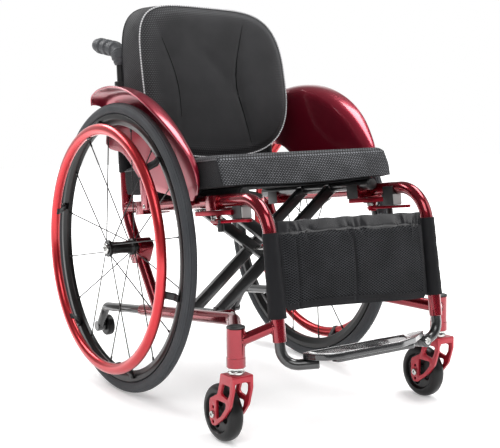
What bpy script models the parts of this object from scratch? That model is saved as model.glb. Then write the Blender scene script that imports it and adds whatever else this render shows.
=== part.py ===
"""Folding wheelchair with a cross brace, an aluminium tube frame and quick-release wheels.

Metres. The front of the chair faces -Y and +Z is up. The origin lies on the floor, midway between the
points under the two rear axles. Each side is drawn once, as the left side (+X), and mirrored for the right.
"""

import math

import bmesh
import bpy
import numpy as np
from mathutils import Matrix, Vector

# Rear wheels
TYRE_RADIUS = 0.295
TYRE_SECTION = 0.0125
RIM_LAP = 0.0019
WHEEL_OUTSET = 0.0527
CAMBER = math.radians(0.9)
RIM_DEPTH = 0.022
RIM_HALF_WIDTH = 0.0100
SPOKES = 16
SPOKE_RADIUS = 0.0012
HUB_RADIUS = 0.0130
HUB_FLANGE_RADIUS = 0.0172
HUB_OUTER_REACH = 0.0300
HANDRIM_INSET = 0.0184
HANDRIM_OFFSET = 0.0381
HANDRIM_DEPTH = 0.0229
HANDRIM_THICKNESS = 0.0186
HANDRIM_TABS = 6
AXLE_RADIUS = 0.0060
BUTTON_RADIUS = 0.0044
BUTTON_TRAVEL = 0.0035

# Side frames
FRAME_HALF_WIDTH = 0.181
FRAME_TUBE_RADIUS = 0.0120
RAIL_PITCH = math.radians(6.9)
TOP_RAIL_HEIGHT = 0.3725
LOWER_RAIL_HEIGHT = 0.1575
LOWER_RAIL_REAR = 0.008
FRONT_TUBE_LEAN = math.radians(8.2)
FRONT_TUBE_FOOT_Y = -0.487
FRONT_TUBE_FOOT_Z = 0.186
FRONT_BEND_RADIUS = 0.068
POST_FOOT_Y = 0.0685
POST_FOOT_DROP = 0.0025
POST_LEAN = math.radians(3.5)
POST_LENGTH = 0.252
REAR_TUBE_SLOPE = math.radians(35.6)
REAR_BEND_RADIUS = 0.100
AXLE_TO_REAR_TUBE = 0.0234
RAIL_JOG_Y = -0.345

# Casters
BARREL_OUTSET = 0.0559
BARREL_Y = -0.4364
BARREL_RADIUS = 0.0162
BARREL_BOTTOM = 0.1412
BARREL_TOP = 0.2095
STEM_RADIUS = 0.0060
STEM_BORE = 0.0105
CASTER_RADIUS = 0.051
CASTER_WIDTH = 0.029
CASTER_TRAIL = 0.0430
CASTER_HUB_OPENINGS = 4
FORK_TOP = 0.1293
FORK_LEG = 0.0050
FORK_CROWN = 0.0115
BOLT_RADIUS = 0.0040

# Cross brace
SEAT_TUBE_INSET = 0.031
BAR_WIDTH = 0.022
BAR_DEPTH = 0.015
BAR_SPACING = 0.095
BRACE_REAR_BAR = 0.1617
SEAT_TUBE_RADIUS = 0.0110
SEAT_TUBE_FRONT = 0.388
SEAT_TUBE_REAR = 0.011
SEAT_TUBE_RISE = 0.0110
PIVOT_TUBE_RADIUS = 0.0095
EAR_THICKNESS = 0.0045
EAR_REAR = 0.1420
EAR_FRONT = 0.3060
PIN_RADIUS = 0.0040

# Hangers and footplate
HANGER_RADIUS = 0.0095
HANGER_INSERT = 0.060
HANGER_DROP = 0.0405
HANGER_END_INSET = 0.051
HANGER_END_FORWARD = 0.0395
HANGER_BEND_RADIUS = 0.030
HINGE_INSET = 0.047
HINGE_SPLIT = HANGER_RADIUS
HINGE_FRONT = 0.0215
KNUCKLE_RADIUS = 0.0120
PLATE_THICKNESS = 0.0102
PLATE_REAR = 0.0190
PLATE_FRONT = 0.0965
PLATE_INSET = 0.024

# Push handles
HANDLE_RADIUS = 0.0088
HANDLE_INSERT = 0.130
HANDLE_BORE_DEPTH = 0.175
HANDLE_ELBOW = 0.077
HANDLE_REACH = 0.104
HANDLE_RISE = math.radians(8)
HANDLE_BEND_RADIUS = 0.030
GRIP_RADIUS = 0.0158
GRIP_RIBS = 4

# Anti-tip tubes
ANTI_TIP_RADIUS = 0.0095
ANTI_TIP_BORE = 0.0101
ANTI_TIP_REACH_Y = 0.180
ANTI_TIP_END_Y = 0.214
ANTI_TIP_END_Z = 0.086
ANTI_TIP_WHEEL_RADIUS = 0.0230
ANTI_TIP_WHEEL_WIDTH = 0.016

# Brakes
BRAKE_PIVOT = 0.340
BRAKE_OUTSET = 0.004
BRAKE_DROP = 0.0370
BRAKE_BAR_DROP = 0.0255
LEVER_LENGTH = 0.1115
LEVER_THICKNESS = 0.0055
ROLLER_REACH = 0.0386
ROLLER_RADIUS = 0.0060
ROLLER_ANGLE = math.radians(23)

# Clothes guards
GUARD_OUTSET = 0.0232
GUARD_THICKNESS = 0.0025
FLARE_HEIGHT = 0.030
GUARD_FEET = (0.100, 0.262)
GUARD_FOOT_LAP = 0.016
GUARD_REAR_ANGLE = math.radians(112)
GUARD_FRONT_RISE = 0.0128
GUARD_FRONT_INSET = 0.01275

# Soft parts
SEAT_CUSHION_OVERHANG = 0.018
SEAT_CUSHION_THICKNESS = 0.0610
SEAT_CUSHION_REAR = 0.003
SEAT_CUSHION_FRONT = 0.391
SLING_THICKNESS = 0.0016
BACK_CUSHION_INSET = 0.003
BACK_CUSHION_RISE = 0.104
BACK_CUSHION_HEIGHT = 0.316
BACK_CUSHION_GAP = 0.0006
CALF_BAG_TOP = -0.194
CALF_BAG_BOTTOM = -0.034
CALF_BAG_BULGE = 0.0110
SLEEVE_THICKNESS = 0.0016
SLEEVE_TOP = -0.186
SLEEVE_BOTTOM = -0.040

# Gaps
TOUCH = 0.0003
WALL = 0.0022

WHEEL_PLANE = FRAME_HALF_WIDTH + WHEEL_OUTSET
RIM_OUTER = TYRE_RADIUS - 2 * TYRE_SECTION + RIM_LAP
HANDRIM_RADIUS = RIM_OUTER - HANDRIM_INSET
HUB_HEIGHT = TYRE_RADIUS * math.cos(CAMBER)
BARREL_OFFSET = FRAME_HALF_WIDTH + BARREL_OUTSET
PIVOT_HALF_SPACING = FRAME_HALF_WIDTH - SEAT_TUBE_INSET
SEAT_TUBE_HEIGHT = TOP_RAIL_HEIGHT + SEAT_TUBE_RISE
POST_FOOT_Z = TOP_RAIL_HEIGHT - POST_FOOT_DROP
BACK_CUSHION_BOTTOM = POST_FOOT_Z + BACK_CUSHION_RISE
BACK_CUSHION_TOP = BACK_CUSHION_BOTTOM + BACK_CUSHION_HEIGHT
HANGER_END_OFFSET = FRAME_HALF_WIDTH - HANGER_END_INSET
HINGE_OFFSET = FRAME_HALF_WIDTH - HINGE_INSET
PLATE_RIGHT_END = PLATE_INSET - FRAME_HALF_WIDTH
BRAKE_OFFSET = FRAME_HALF_WIDTH + BRAKE_OUTSET
GUARD_OFFSET = FRAME_HALF_WIDTH + GUARD_OUTSET
SEAT_CUSHION_HALF_WIDTH = FRAME_HALF_WIDTH + SEAT_CUSHION_OVERHANG
BACK_CUSHION_HALF_WIDTH = FRAME_HALF_WIDTH - BACK_CUSHION_INSET
BRACE_CENTRE_HEIGHT = (LOWER_RAIL_HEIGHT + SEAT_TUBE_HEIGHT) / 2
MEMBER_OFFSET = BAR_DEPTH + 2 * TOUCH
HANGER_BORE = HANGER_RADIUS + TOUCH
HANDLE_BORE = HANDLE_RADIUS + TOUCH

RED = (0.36, 0.010, 0.020, 1.0)
BRIGHT_RED = (0.60, 0.025, 0.030, 1.0)
BLACK = (0.012, 0.012, 0.013, 1.0)
DARK_GREY = (0.050, 0.052, 0.055, 1.0)
SILVER = (0.62, 0.62, 0.60, 1.0)


def clear_scene():
    for old in list(bpy.data.objects):
        bpy.data.objects.remove(old, do_unlink=True)
    for old in list(bpy.data.meshes):
        bpy.data.meshes.remove(old)


def make_material(name, colour, roughness, metallic):
    material = bpy.data.materials.new(name)
    material.use_nodes = True
    shader = material.node_tree.nodes["Principled BSDF"]
    shader.inputs["Base Color"].default_value = colour
    shader.inputs["Roughness"].default_value = roughness
    shader.inputs["Metallic"].default_value = metallic
    return material


# Frames of reference

def rail_point(x, along, height):
    """A point by its distance along the rails (forward) and its height square to them."""
    cos, sin = math.cos(RAIL_PITCH), math.sin(RAIL_PITCH)
    return Vector((x, -along * cos + height * sin, along * sin + height * cos))


def rail_along(y, height):
    """How far along the rails a point of this height lies, from its world Y."""
    return (height * math.sin(RAIL_PITCH) - y) / math.cos(RAIL_PITCH)


def front_point(x, forward, down):
    """A point by its place ahead of the front tube's axis, and below that tube's foot along it."""
    cos, sin = math.cos(FRONT_TUBE_LEAN), math.sin(FRONT_TUBE_LEAN)
    return Vector((x, FRONT_TUBE_FOOT_Y - forward * cos - down * sin,
                   FRONT_TUBE_FOOT_Z + forward * sin - down * cos))


def post_point(x, behind, up):
    """A point by its place behind the back post's axis, and above that axis's foot along it."""
    cos, sin = math.cos(POST_LEAN), math.sin(POST_LEAN)
    return Vector((x, POST_FOOT_Y + behind * cos + up * sin, POST_FOOT_Z - behind * sin + up * cos))


def wheel_matrix():
    """Places a left wheel, whose own +X is its axle's outer end."""
    return Matrix.Translation((WHEEL_PLANE, 0, HUB_HEIGHT)) @ Matrix.Rotation(-CAMBER, 4, "Y")


RAIL_AXIS = rail_point(0, 1, 0) - rail_point(0, 0, 0)
RAIL_UP = rail_point(0, 0, 1) - rail_point(0, 0, 0)


# Meshes

def finish(name, bm, material, smooth_angle=35):
    """Makes the bmesh an object with outward faces and smooth round sides."""
    bmesh.ops.recalc_face_normals(bm, faces=bm.faces)
    mesh = bpy.data.meshes.new(name)
    bm.to_mesh(mesh)
    bm.free()
    mesh.shade_smooth()
    mesh.set_sharp_from_angle(angle=math.radians(smooth_angle))
    obj = bpy.data.objects.new(name, mesh)
    bpy.context.scene.collection.objects.link(obj)
    if material is not None:
        mesh.materials.append(material)
    return obj


def apply_modifiers(obj):
    depsgraph = bpy.context.evaluated_depsgraph_get()
    mesh = bpy.data.meshes.new_from_object(obj.evaluated_get(depsgraph))
    obj.modifiers.clear()
    old = obj.data
    obj.data = mesh
    bpy.data.meshes.remove(old)
    mesh.shade_smooth()
    mesh.set_sharp_from_angle(angle=math.radians(35))


def combine(obj, operation, others):
    """Joins other solids to this one, or cuts them out of it, and removes them."""
    for other in others:
        modifier = obj.modifiers.new(operation.title(), "BOOLEAN")
        modifier.operation = operation
        modifier.solver = "EXACT"
        modifier.object = other
    apply_modifiers(obj)
    for other in others:
        bpy.data.objects.remove(other, do_unlink=True)
    return obj


def union(obj, *others):
    return combine(obj, "UNION", others)


def cut(obj, *others):
    return combine(obj, "DIFFERENCE", others)


def rounded_path(points, radii, step=math.radians(15)):
    """Corner points joined by straight runs, with an arc of the given radius at each inner corner."""
    path = [points[0]]
    for before, corner, after, radius in zip(points, points[1:], points[2:], radii):
        back = (before - corner).normalized()
        ahead = (after - corner).normalized()
        turn = math.pi - back.angle(ahead)
        reach = radius * math.tan(turn / 2)
        centre = corner + (back + ahead).normalized() * (radius / math.cos(turn / 2))
        start = corner + back * reach - centre
        axis = start.cross(corner + ahead * reach - centre).normalized()
        count = max(2, math.ceil(turn / step))
        for i in range(count + 1):
            path.append(centre + Matrix.Rotation(turn * i / count, 3, axis) @ start)
    path.append(points[-1])
    return path


def path_frames(path):
    """Lengths along a path, and for each of its points a tangent and two normals carried without twist."""
    lengths = [0.0]
    for a, b in zip(path, path[1:]):
        lengths.append(lengths[-1] + (b - a).length)
    runs = [(b - a).normalized() for a, b in zip(path, path[1:])]
    tangents = [runs[0]] + [(a + b).normalized() for a, b in zip(runs, runs[1:])] + [runs[-1]]
    guess = Vector((0, 0, 1)) if abs(runs[0].z) < 0.9 else Vector((0, 1, 0))
    normal = (guess - runs[0] * guess.dot(runs[0])).normalized()
    normals = [normal]
    for before, tangent in zip(tangents, tangents[1:]):
        turn = before.rotation_difference(tangent)
        normal = (turn @ normal)
        normal = (normal - tangent * normal.dot(tangent)).normalized()
        normals.append(normal)
    return lengths, tangents, normals


def turned(name, path, profile, material, sides=12, squash=1.0):
    """A solid whose sections along the path are circles.

    The profile lists (distance along the path, radius), and starts and ends at radius 0 unless it closes
    on itself. Long runs follow the path's bends. squash scales the sections across the carried normal.
    """
    lengths, tangents, normals = path_frames(path)
    stations = []
    closed = profile[0][1] > 0
    pairs = list(zip(profile, profile[1:] + profile[:1])) if closed else list(zip(profile, profile[1:]))
    for (s0, r0), (s1, r1) in pairs:
        stations.append((s0, r0))
        between = [s for s in lengths[1:-1] if min(s0, s1) + 1e-5 < s < max(s0, s1) - 1e-5]
        for s in sorted(between, reverse=s1 < s0):
            stations.append((s, r0 + (r1 - r0) * (s - s0) / (s1 - s0)))
    if not closed:
        stations.append(profile[-1])
    bm = bmesh.new()
    rings = []
    for s, radius in stations:
        k = min(max(int(np.searchsorted(lengths, s, side="right")) - 1, 0), len(path) - 2)
        t = (s - lengths[k]) / (lengths[k + 1] - lengths[k])
        centre = path[k].lerp(path[k + 1], t)
        if t < 1e-6 or t > 1 - 1e-6:
            at = k if t < 0.5 else k + 1
            tangent, normal = tangents[at], normals[at]
        else:
            tangent = (path[k + 1] - path[k]).normalized()
            normal = (normals[k] - tangent * normals[k].dot(tangent)).normalized()
        side = tangent.cross(normal)
        if radius == 0:
            rings.append([bm.verts.new(centre)])
            continue
        ring = []
        for i in range(sides):
            angle = 2 * math.pi * i / sides
            offset = normal * math.cos(angle) + side * (math.sin(angle) * squash)
            ring.append(bm.verts.new(centre + offset * radius))
        rings.append(ring)
    following = rings[1:] + rings[:1] if closed else rings[1:]
    for ring, after in zip(rings, following):
        for i in range(sides):
            j = (i + 1) % sides
            quad = [ring[i % len(ring)], ring[j % len(ring)], after[j % len(after)], after[i % len(after)]]
            corners = list(dict.fromkeys(quad))
            if len(corners) > 2:
                bm.faces.new(corners)
    return finish(name, bm, material)


def rod(name, start, end, radius, material=None, sides=12):
    """A plain round bar from one point to another."""
    length = (Vector(end) - Vector(start)).length
    return turned(name, [Vector(start), Vector(end)], [(0, 0), (0, radius), (length, radius), (length, 0)],
                  material, sides)


def tube_along(name, path, radius, material=None, sides=12):
    length = path_frames(path)[0][-1]
    return turned(name, path, [(0, 0), (0, radius), (length, radius), (length, 0)], material, sides)


def prism(name, outline, place, low, high, material=None):
    """An outline of (a, b) pairs extruded from low to high; place(a, b, c) gives the world point."""
    bm = bmesh.new()
    bottom = [bm.verts.new(place(a, b, low)) for a, b in outline]
    top = [bm.verts.new(place(a, b, high)) for a, b in outline]
    bm.faces.new(bottom)
    bm.faces.new(top)
    for i in range(len(outline)):
        j = (i + 1) % len(outline)
        bm.faces.new((bottom[i], bottom[j], top[j], top[i]))
    return finish(name, bm, material)


def box(name, place, a, b, c, material=None):
    """A block between pairs of limits along the three directions of place."""
    outline = [(a[0], b[0]), (a[1], b[0]), (a[1], b[1]), (a[0], b[1])]
    return prism(name, outline, place, c[0], c[1], material)


def rounded_outline(corners, radii, steps=3):
    """A polygon with an arc of the given radius at each corner."""
    outline = []
    count = len(corners)
    for i, radius in enumerate(radii):
        corner = Vector(corners[i])
        back = (Vector(corners[i - 1]) - corner).normalized()
        ahead = (Vector(corners[(i + 1) % count]) - corner).normalized()
        if radius == 0:
            outline.append(tuple(corner))
            continue
        turn = math.pi - back.angle(ahead)
        reach = radius * math.tan(turn / 2)
        centre = corner + (back + ahead).normalized() * (radius / math.cos(turn / 2))
        start = corner + back * reach - centre
        sense = 1 if start.x * (corner + ahead * reach - centre).y - start.y * (
            corner + ahead * reach - centre).x > 0 else -1
        for k in range(steps + 1):
            angle = sense * turn * k / steps
            outline.append((centre.x + start.x * math.cos(angle) - start.y * math.sin(angle),
                            centre.y + start.x * math.sin(angle) + start.y * math.cos(angle)))
    return outline


def stadium(a0, a1, b, radius, steps=6):
    """A slot's outline: two half circles about (a0, b) and (a1, b), joined."""
    outline = []
    for centre, first in ((a1, -math.pi / 2), (a0, math.pi / 2)):
        for k in range(steps + 1):
            angle = first + math.pi * k / steps
            outline.append((centre + radius * math.cos(angle), b + radius * math.sin(angle)))
    return outline


def cushion(name, outline, face, back, place, material, cells=(22, 20)):
    """A closed pad. outline(angle) is its edge, and face and back give its two heights at (a, b, m),

    where m runs from 0 at the middle to 1 at the edge."""
    across, along = cells
    bm = bmesh.new()
    sheets = []
    for height in (face, back):
        sheet = []
        for j in range(along + 1):
            row = []
            for i in range(across + 1):
                p, q = 2 * i / across - 1, 2 * j / along - 1
                m = max(abs(p), abs(q))
                angle = math.atan2(q, p)
                a, b = outline(angle) if m > 0 else (0.0, 0.0)
                row.append(bm.verts.new(place(a * m, b * m, height(a * m, b * m, m))))
            sheet.append(row)
        sheets.append(sheet)
    for sheet in sheets:
        for j in range(along):
            for i in range(across):
                bm.faces.new((sheet[j][i], sheet[j][i + 1], sheet[j + 1][i + 1], sheet[j + 1][i]))
    rims = []
    for sheet in sheets:
        rims.append(sheet[0][:-1] + [row[-1] for row in sheet[:-1]] + sheet[-1][:0:-1]
                    + [row[0] for row in sheet[:0:-1]])
    for i in range(len(rims[0])):
        j = (i + 1) % len(rims[0])
        bm.faces.new((rims[0][i], rims[0][j], rims[1][j], rims[1][i]))
    return finish(name, bm, material, 50)


def put_origin(obj, point):
    """Moves the object's origin, and leaves its mesh where it is."""
    obj.data.transform(Matrix.Translation(-Vector(point)))
    obj.location = point
    return obj


def world(x, y, z):
    return Vector((x, y, z))


# Pieces of the left side. Each function returns one solid.

def front_corner():
    """Where the top rail's axis meets the front tube's axis."""
    foot = front_point(FRAME_HALF_WIDTH, 0, 0)
    rise = front_point(FRAME_HALF_WIDTH, 0, -1) - foot
    reach = (TOP_RAIL_HEIGHT - foot.dot(RAIL_UP)) / rise.dot(RAIL_UP)
    return foot + rise * reach


def rear_tube_point(z):
    """The rear tube's straight axis passes behind the axle at a set distance."""
    cos, sin = math.cos(REAR_TUBE_SLOPE), math.sin(REAR_TUBE_SLOPE)
    near_axle = Vector((FRAME_HALF_WIDTH, AXLE_TO_REAR_TUBE * cos, HUB_HEIGHT - AXLE_TO_REAR_TUBE * sin))
    return near_axle + Vector((0, sin, cos)) * ((z - near_axle.z) / cos)


def front_path(x):
    """The front tube's axis from its foot up, round the bend and back along the top rail."""
    post_joint = rail_point(x, rail_along(POST_FOOT_Y, TOP_RAIL_HEIGHT), TOP_RAIL_HEIGHT)
    return rounded_path([front_point(x, 0, 0), front_corner(), post_joint], [FRONT_BEND_RADIUS], math.radians(14))


def side_frame(material):
    x = FRAME_HALF_WIDTH
    radius = FRAME_TUBE_RADIUS
    main = tube_along("side_frame", front_path(x), radius, material)
    foot = rear_tube_point(0)
    run = math.tan(REAR_TUBE_SLOPE) - math.tan(POST_LEAN)
    bend_z = (POST_FOOT_Y - POST_FOOT_Z * math.tan(POST_LEAN) - foot.y) / run
    joint_z = (LOWER_RAIL_HEIGHT - foot.y * math.sin(RAIL_PITCH)) / (
        math.cos(RAIL_PITCH) + math.tan(REAR_TUBE_SLOPE) * math.sin(RAIL_PITCH))
    rear = tube_along("rear", rounded_path(
        [post_point(x, 0, POST_LENGTH), rear_tube_point(bend_z), rear_tube_point(joint_z)],
        [REAR_BEND_RADIUS], math.radians(11)), radius)
    jog = rail_point(x, rail_along(RAIL_JOG_Y, LOWER_RAIL_HEIGHT), LOWER_RAIL_HEIGHT)
    lower_end = rail_point(x, rail_along(LOWER_RAIL_REAR, LOWER_RAIL_HEIGHT), LOWER_RAIL_HEIGHT)
    barrel_middle = world(BARREL_OFFSET, BARREL_Y, (BARREL_BOTTOM + BARREL_TOP) / 2 + 0.012)
    lower = tube_along("lower", rounded_path([lower_end, jog, barrel_middle], [0.045]), radius)
    strut_top = front_point(x, 0, -0.030)
    strut = tube_along("strut", [barrel_middle - Vector((0, 0, 0.004)), strut_top], 0.0100, sides=8)
    barrel = rod("barrel", (BARREL_OFFSET, BARREL_Y, BARREL_BOTTOM), (BARREL_OFFSET, BARREL_Y, BARREL_TOP),
                 BARREL_RADIUS, sides=16)
    ears = [prism("ear", stadium(PIVOT_HALF_SPACING, x, LOWER_RAIL_HEIGHT, 0.0110, 3),
                  lambda a, b, c: rail_point(a, c, b), along - EAR_THICKNESS / 2, along + EAR_THICKNESS / 2)
            for along in (EAR_REAR, EAR_FRONT)]
    union(main, rear, lower, barrel, strut, *ears)
    stem_bore = rod("bore", (BARREL_OFFSET, BARREL_Y, BARREL_BOTTOM - 0.01),
                    (BARREL_OFFSET, BARREL_Y, BARREL_TOP + 0.01), STEM_BORE)
    hanger_bore = rod("bore", front_point(x, 0, 0.01), front_point(x, 0, -HANGER_INSERT - 0.004), HANGER_BORE)
    handle_bore = rod("bore", post_point(x, 0, POST_LENGTH + 0.01),
                      post_point(x, 0, POST_LENGTH - HANDLE_BORE_DEPTH), HANDLE_BORE)
    rail_back = (lower_end - jog).normalized()
    tip_bore = rod("bore", lower_end + rail_back * 0.01, lower_end - rail_back * 0.050,
                   ANTI_TIP_BORE)
    pivot_bore = rod("bore", rail_point(PIVOT_HALF_SPACING, EAR_REAR - 0.01, LOWER_RAIL_HEIGHT),
                     rail_point(PIVOT_HALF_SPACING, EAR_FRONT + 0.01, LOWER_RAIL_HEIGHT),
                     PIN_RADIUS + TOUCH, sides=10)
    return cut(main, stem_bore, hanger_bore, handle_bore, tip_bore, pivot_bore)


def axle_point(offset):
    """A point on the axle's axis, by its distance outboard of the wheel's plane."""
    return wheel_matrix() @ Vector((offset, 0, 0))


SLEEVE_INNER = FRAME_HALF_WIDTH - 0.0190 - WHEEL_PLANE
SLEEVE_OUTER = -0.0306


def axle_bracket(material):
    """A casting clamped round the rear tube, with a sleeve for the axle."""
    foot = rear_tube_point(HUB_HEIGHT - AXLE_TO_REAR_TUBE * math.sin(REAR_TUBE_SLOPE))
    up = (rear_tube_point(1) - rear_tube_point(0)).normalized()
    ahead = Vector((0, -up.z, up.y))

    def place(a, b, c):
        return Vector((c, 0, 0)) + Vector((0, foot.y, foot.z)) + up * a + ahead * b

    back = FRAME_TUBE_RADIUS + 0.0040
    outline = rounded_outline([(-0.021, -back), (0.021, -back), (0.029, 0.002), (0.012, 0.0345), (-0.012, 0.0345),
                               (-0.029, 0.002)], [0.003, 0.003, 0.005, 0.006, 0.006, 0.005], 1)
    body = prism("axle_bracket", outline, place, FRAME_HALF_WIDTH - back, FRAME_HALF_WIDTH + back, material)
    sleeve = rod("sleeve", axle_point(SLEEVE_INNER), axle_point(SLEEVE_OUTER), 0.0112, sides=14)
    union(body, sleeve)
    tube_hole = rod("hole", foot + up * 0.06, foot - up * 0.06, FRAME_TUBE_RADIUS + TOUCH, sides=12)
    axle_hole = rod("hole", axle_point(SLEEVE_INNER - 0.01), axle_point(SLEEVE_OUTER + 0.01), AXLE_RADIUS + TOUCH)
    slot = prism("slot", [(-0.05, -back - 0.01), (0.05, -back - 0.01), (0.05, -back + 0.012), (-0.05, -back + 0.012)],
                 place, FRAME_HALF_WIDTH - 0.0012, FRAME_HALF_WIDTH + 0.0012)
    return cut(body, tube_hole, axle_hole, slot)


def rim_and_spokes(material):
    outer = RIM_OUTER
    inner = outer - RIM_DEPTH
    half = RIM_HALF_WIDTH
    profile = [(outer, -half), (outer, half), (outer - 0.011, half), (inner, 0.0040), (inner, -0.0040),
               (outer - 0.011, -half)]
    rim = ring_solid("wheel", profile, 36, material)
    hub_end = HUB_OUTER_REACH
    hub_start = SLEEVE_OUTER + TOUCH
    path = [Vector((hub_start, 0, 0)), Vector((hub_end, 0, 0))]
    length = hub_end - hub_start
    flange = HUB_FLANGE_RADIUS
    hub = turned("hub", path, [(0, AXLE_RADIUS + TOUCH), (0, flange), (0.007, flange), (0.011, HUB_RADIUS),
                               (length - 0.011, HUB_RADIUS), (length - 0.007, flange), (length, flange),
                               (length, AXLE_RADIUS + TOUCH)], None, 12)
    spokes = []
    for i in range(SPOKES):
        angle = 2 * math.pi * (i + 0.5) / SPOKES
        ray = Vector((0, math.cos(angle), math.sin(angle)))
        root = ray * (flange - 0.003)
        root.x = hub_end - 0.0045 if i % 2 else hub_start + 0.0045
        spokes.append(rod("spoke", root, ray * (inner + 0.004), SPOKE_RADIUS, sides=4))
    union(rim, hub)
    return union(rim, *spokes)


def ring_solid(name, profile, segments, material):
    """A closed ring about the X axis, from a section of (radius, x) points."""
    bm = bmesh.new()
    rings = []
    for k in range(segments):
        angle = 2 * math.pi * k / segments
        rings.append([bm.verts.new((x, r * math.cos(angle), r * math.sin(angle))) for r, x in profile])
    for k in range(segments):
        ring, after = rings[k], rings[(k + 1) % segments]
        for i in range(len(profile)):
            j = (i + 1) % len(profile)
            bm.faces.new((ring[i], ring[j], after[j], after[i]))
    return finish(name, bm, material)


def tyre(material):
    """A round section, cut flat where it sits on the rim."""
    centre = TYRE_RADIUS - TYRE_SECTION
    seat = RIM_OUTER + TOUCH
    limit = math.acos((seat - centre) / TYRE_SECTION)
    profile = []
    for k in range(8):
        angle = limit * (2 * k / 7 - 1)
        profile.append((centre + TYRE_SECTION * math.cos(angle), TYRE_SECTION * math.sin(angle)))
    return ring_solid("tyre", profile, 36, material)


def handrim(material):
    centre = HANDRIM_RADIUS - HANDRIM_DEPTH / 2
    profile = []
    for k in range(8):
        angle = 2 * math.pi * (k + 0.5) / 8
        profile.append((centre + HANDRIM_DEPTH / 2 * math.cos(angle),
                        HANDRIM_OFFSET + HANDRIM_THICKNESS / 2 * math.sin(angle)))
    ring = ring_solid("handrim", profile, 36, material)
    tabs = []
    for k in range(HANDRIM_TABS):
        angle = 2 * math.pi * k / HANDRIM_TABS + math.radians(14)
        ray = Vector((0, math.cos(angle), math.sin(angle)))
        side = Vector((0, -math.sin(angle), math.cos(angle)))

        def place(a, b, c):
            return ray * b + side * c + Vector((a, 0, 0))

        foot = RIM_HALF_WIDTH + TOUCH
        inner = RIM_OUTER - RIM_DEPTH + 0.0001
        top = RIM_OUTER - 0.0059
        outline = [(foot, top), (foot, inner + 0.002), (foot + 0.003, inner), (HANDRIM_OFFSET, centre - 0.005),
                   (HANDRIM_OFFSET, centre + 0.001), (foot + 0.006, inner + 0.007), (foot + 0.004, top)]
        tabs.append(prism("tab", outline, place, -0.0065, 0.0065))
    return union(ring, *tabs)


def axle_pin(material):
    """The quick-release axle, with a head outside the hub and a bore for its button."""
    start = SLEEVE_INNER - 0.004
    head = HUB_OUTER_REACH + TOUCH
    path = [Vector((start, 0, 0)), Vector((head + 0.0045, 0, 0))]
    total = head + 0.0045 - start
    body = head - start
    bore = BUTTON_RADIUS + TOUCH
    return turned("axle_pin", path, [(0, 0), (0, AXLE_RADIUS - 0.0015), (0.002, AXLE_RADIUS), (body, AXLE_RADIUS),
                                     (body, 0.0108), (total - 0.001, 0.0108), (total, 0.0098), (total, bore),
                                     (total - 0.012, bore), (total - 0.012, 0)], material, 14)


def axle_button(material):
    """The release button, standing out of the axle's head by a little more than its travel."""
    face = HUB_OUTER_REACH + TOUCH + 0.0045
    inner = face - 0.012 + BUTTON_TRAVEL + TOUCH
    path = [Vector((inner, 0, 0)), Vector((face + BUTTON_TRAVEL + 0.0008, 0, 0))]
    length = path[1].x - inner
    return turned("axle_button", path, [(0, 0), (0, BUTTON_RADIUS), (length - 0.001, BUTTON_RADIUS),
                                        (length, BUTTON_RADIUS - 0.001), (length, 0)], material, 12)


# Stations along the guard: share of the fender's arc, its outer radius beyond the tyre, how far it flares
# outboard, how far behind the fender the panel's lower edge lies, and that edge's share of the way up from
# the rail to the fender.
GUARD_STATIONS = (
    (0.000, -0.0030, 0.0015, 0.0077, 0.292), (0.023, 0.0110, 0.0040, 0.0243, 0.150),
    (0.058, 0.0240, 0.0080, 0.0368, 0.127), (0.116, 0.0320, 0.0130, 0.0468, 0.140),
    (0.209, 0.0330, 0.0220, 0.0615, 0.178), (0.314, 0.0330, 0.0310, 0.0673, 0.189),
    (0.419, 0.0330, 0.0360, 0.0697, 0.220), (0.523, 0.0330, 0.0380, 0.0571, 0.279),
    (0.628, 0.0330, 0.0380, 0.0377, 0.357), (0.733, 0.0325, 0.0380, 0.0210, 0.460),
    (0.826, 0.0315, 0.0375, 0.0097, 0.534), (0.907, 0.0300, 0.0350, 0.0066, 0.574),
    (0.965, 0.0260, 0.0310, 0.0053, 0.630), (1.000, 0.0170, 0.0260, 0.0084, 0.721))


def guard_front_angle():
    """Where the fender's front end stands just over the top rail, as an angle at the wheel's centre."""
    drop = TOP_RAIL_HEIGHT - (HUB_HEIGHT - GUARD_FRONT_RISE) * math.cos(RAIL_PITCH)
    return RAIL_PITCH + math.asin(drop / (TYRE_RADIUS - GUARD_FRONT_INSET))


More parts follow.
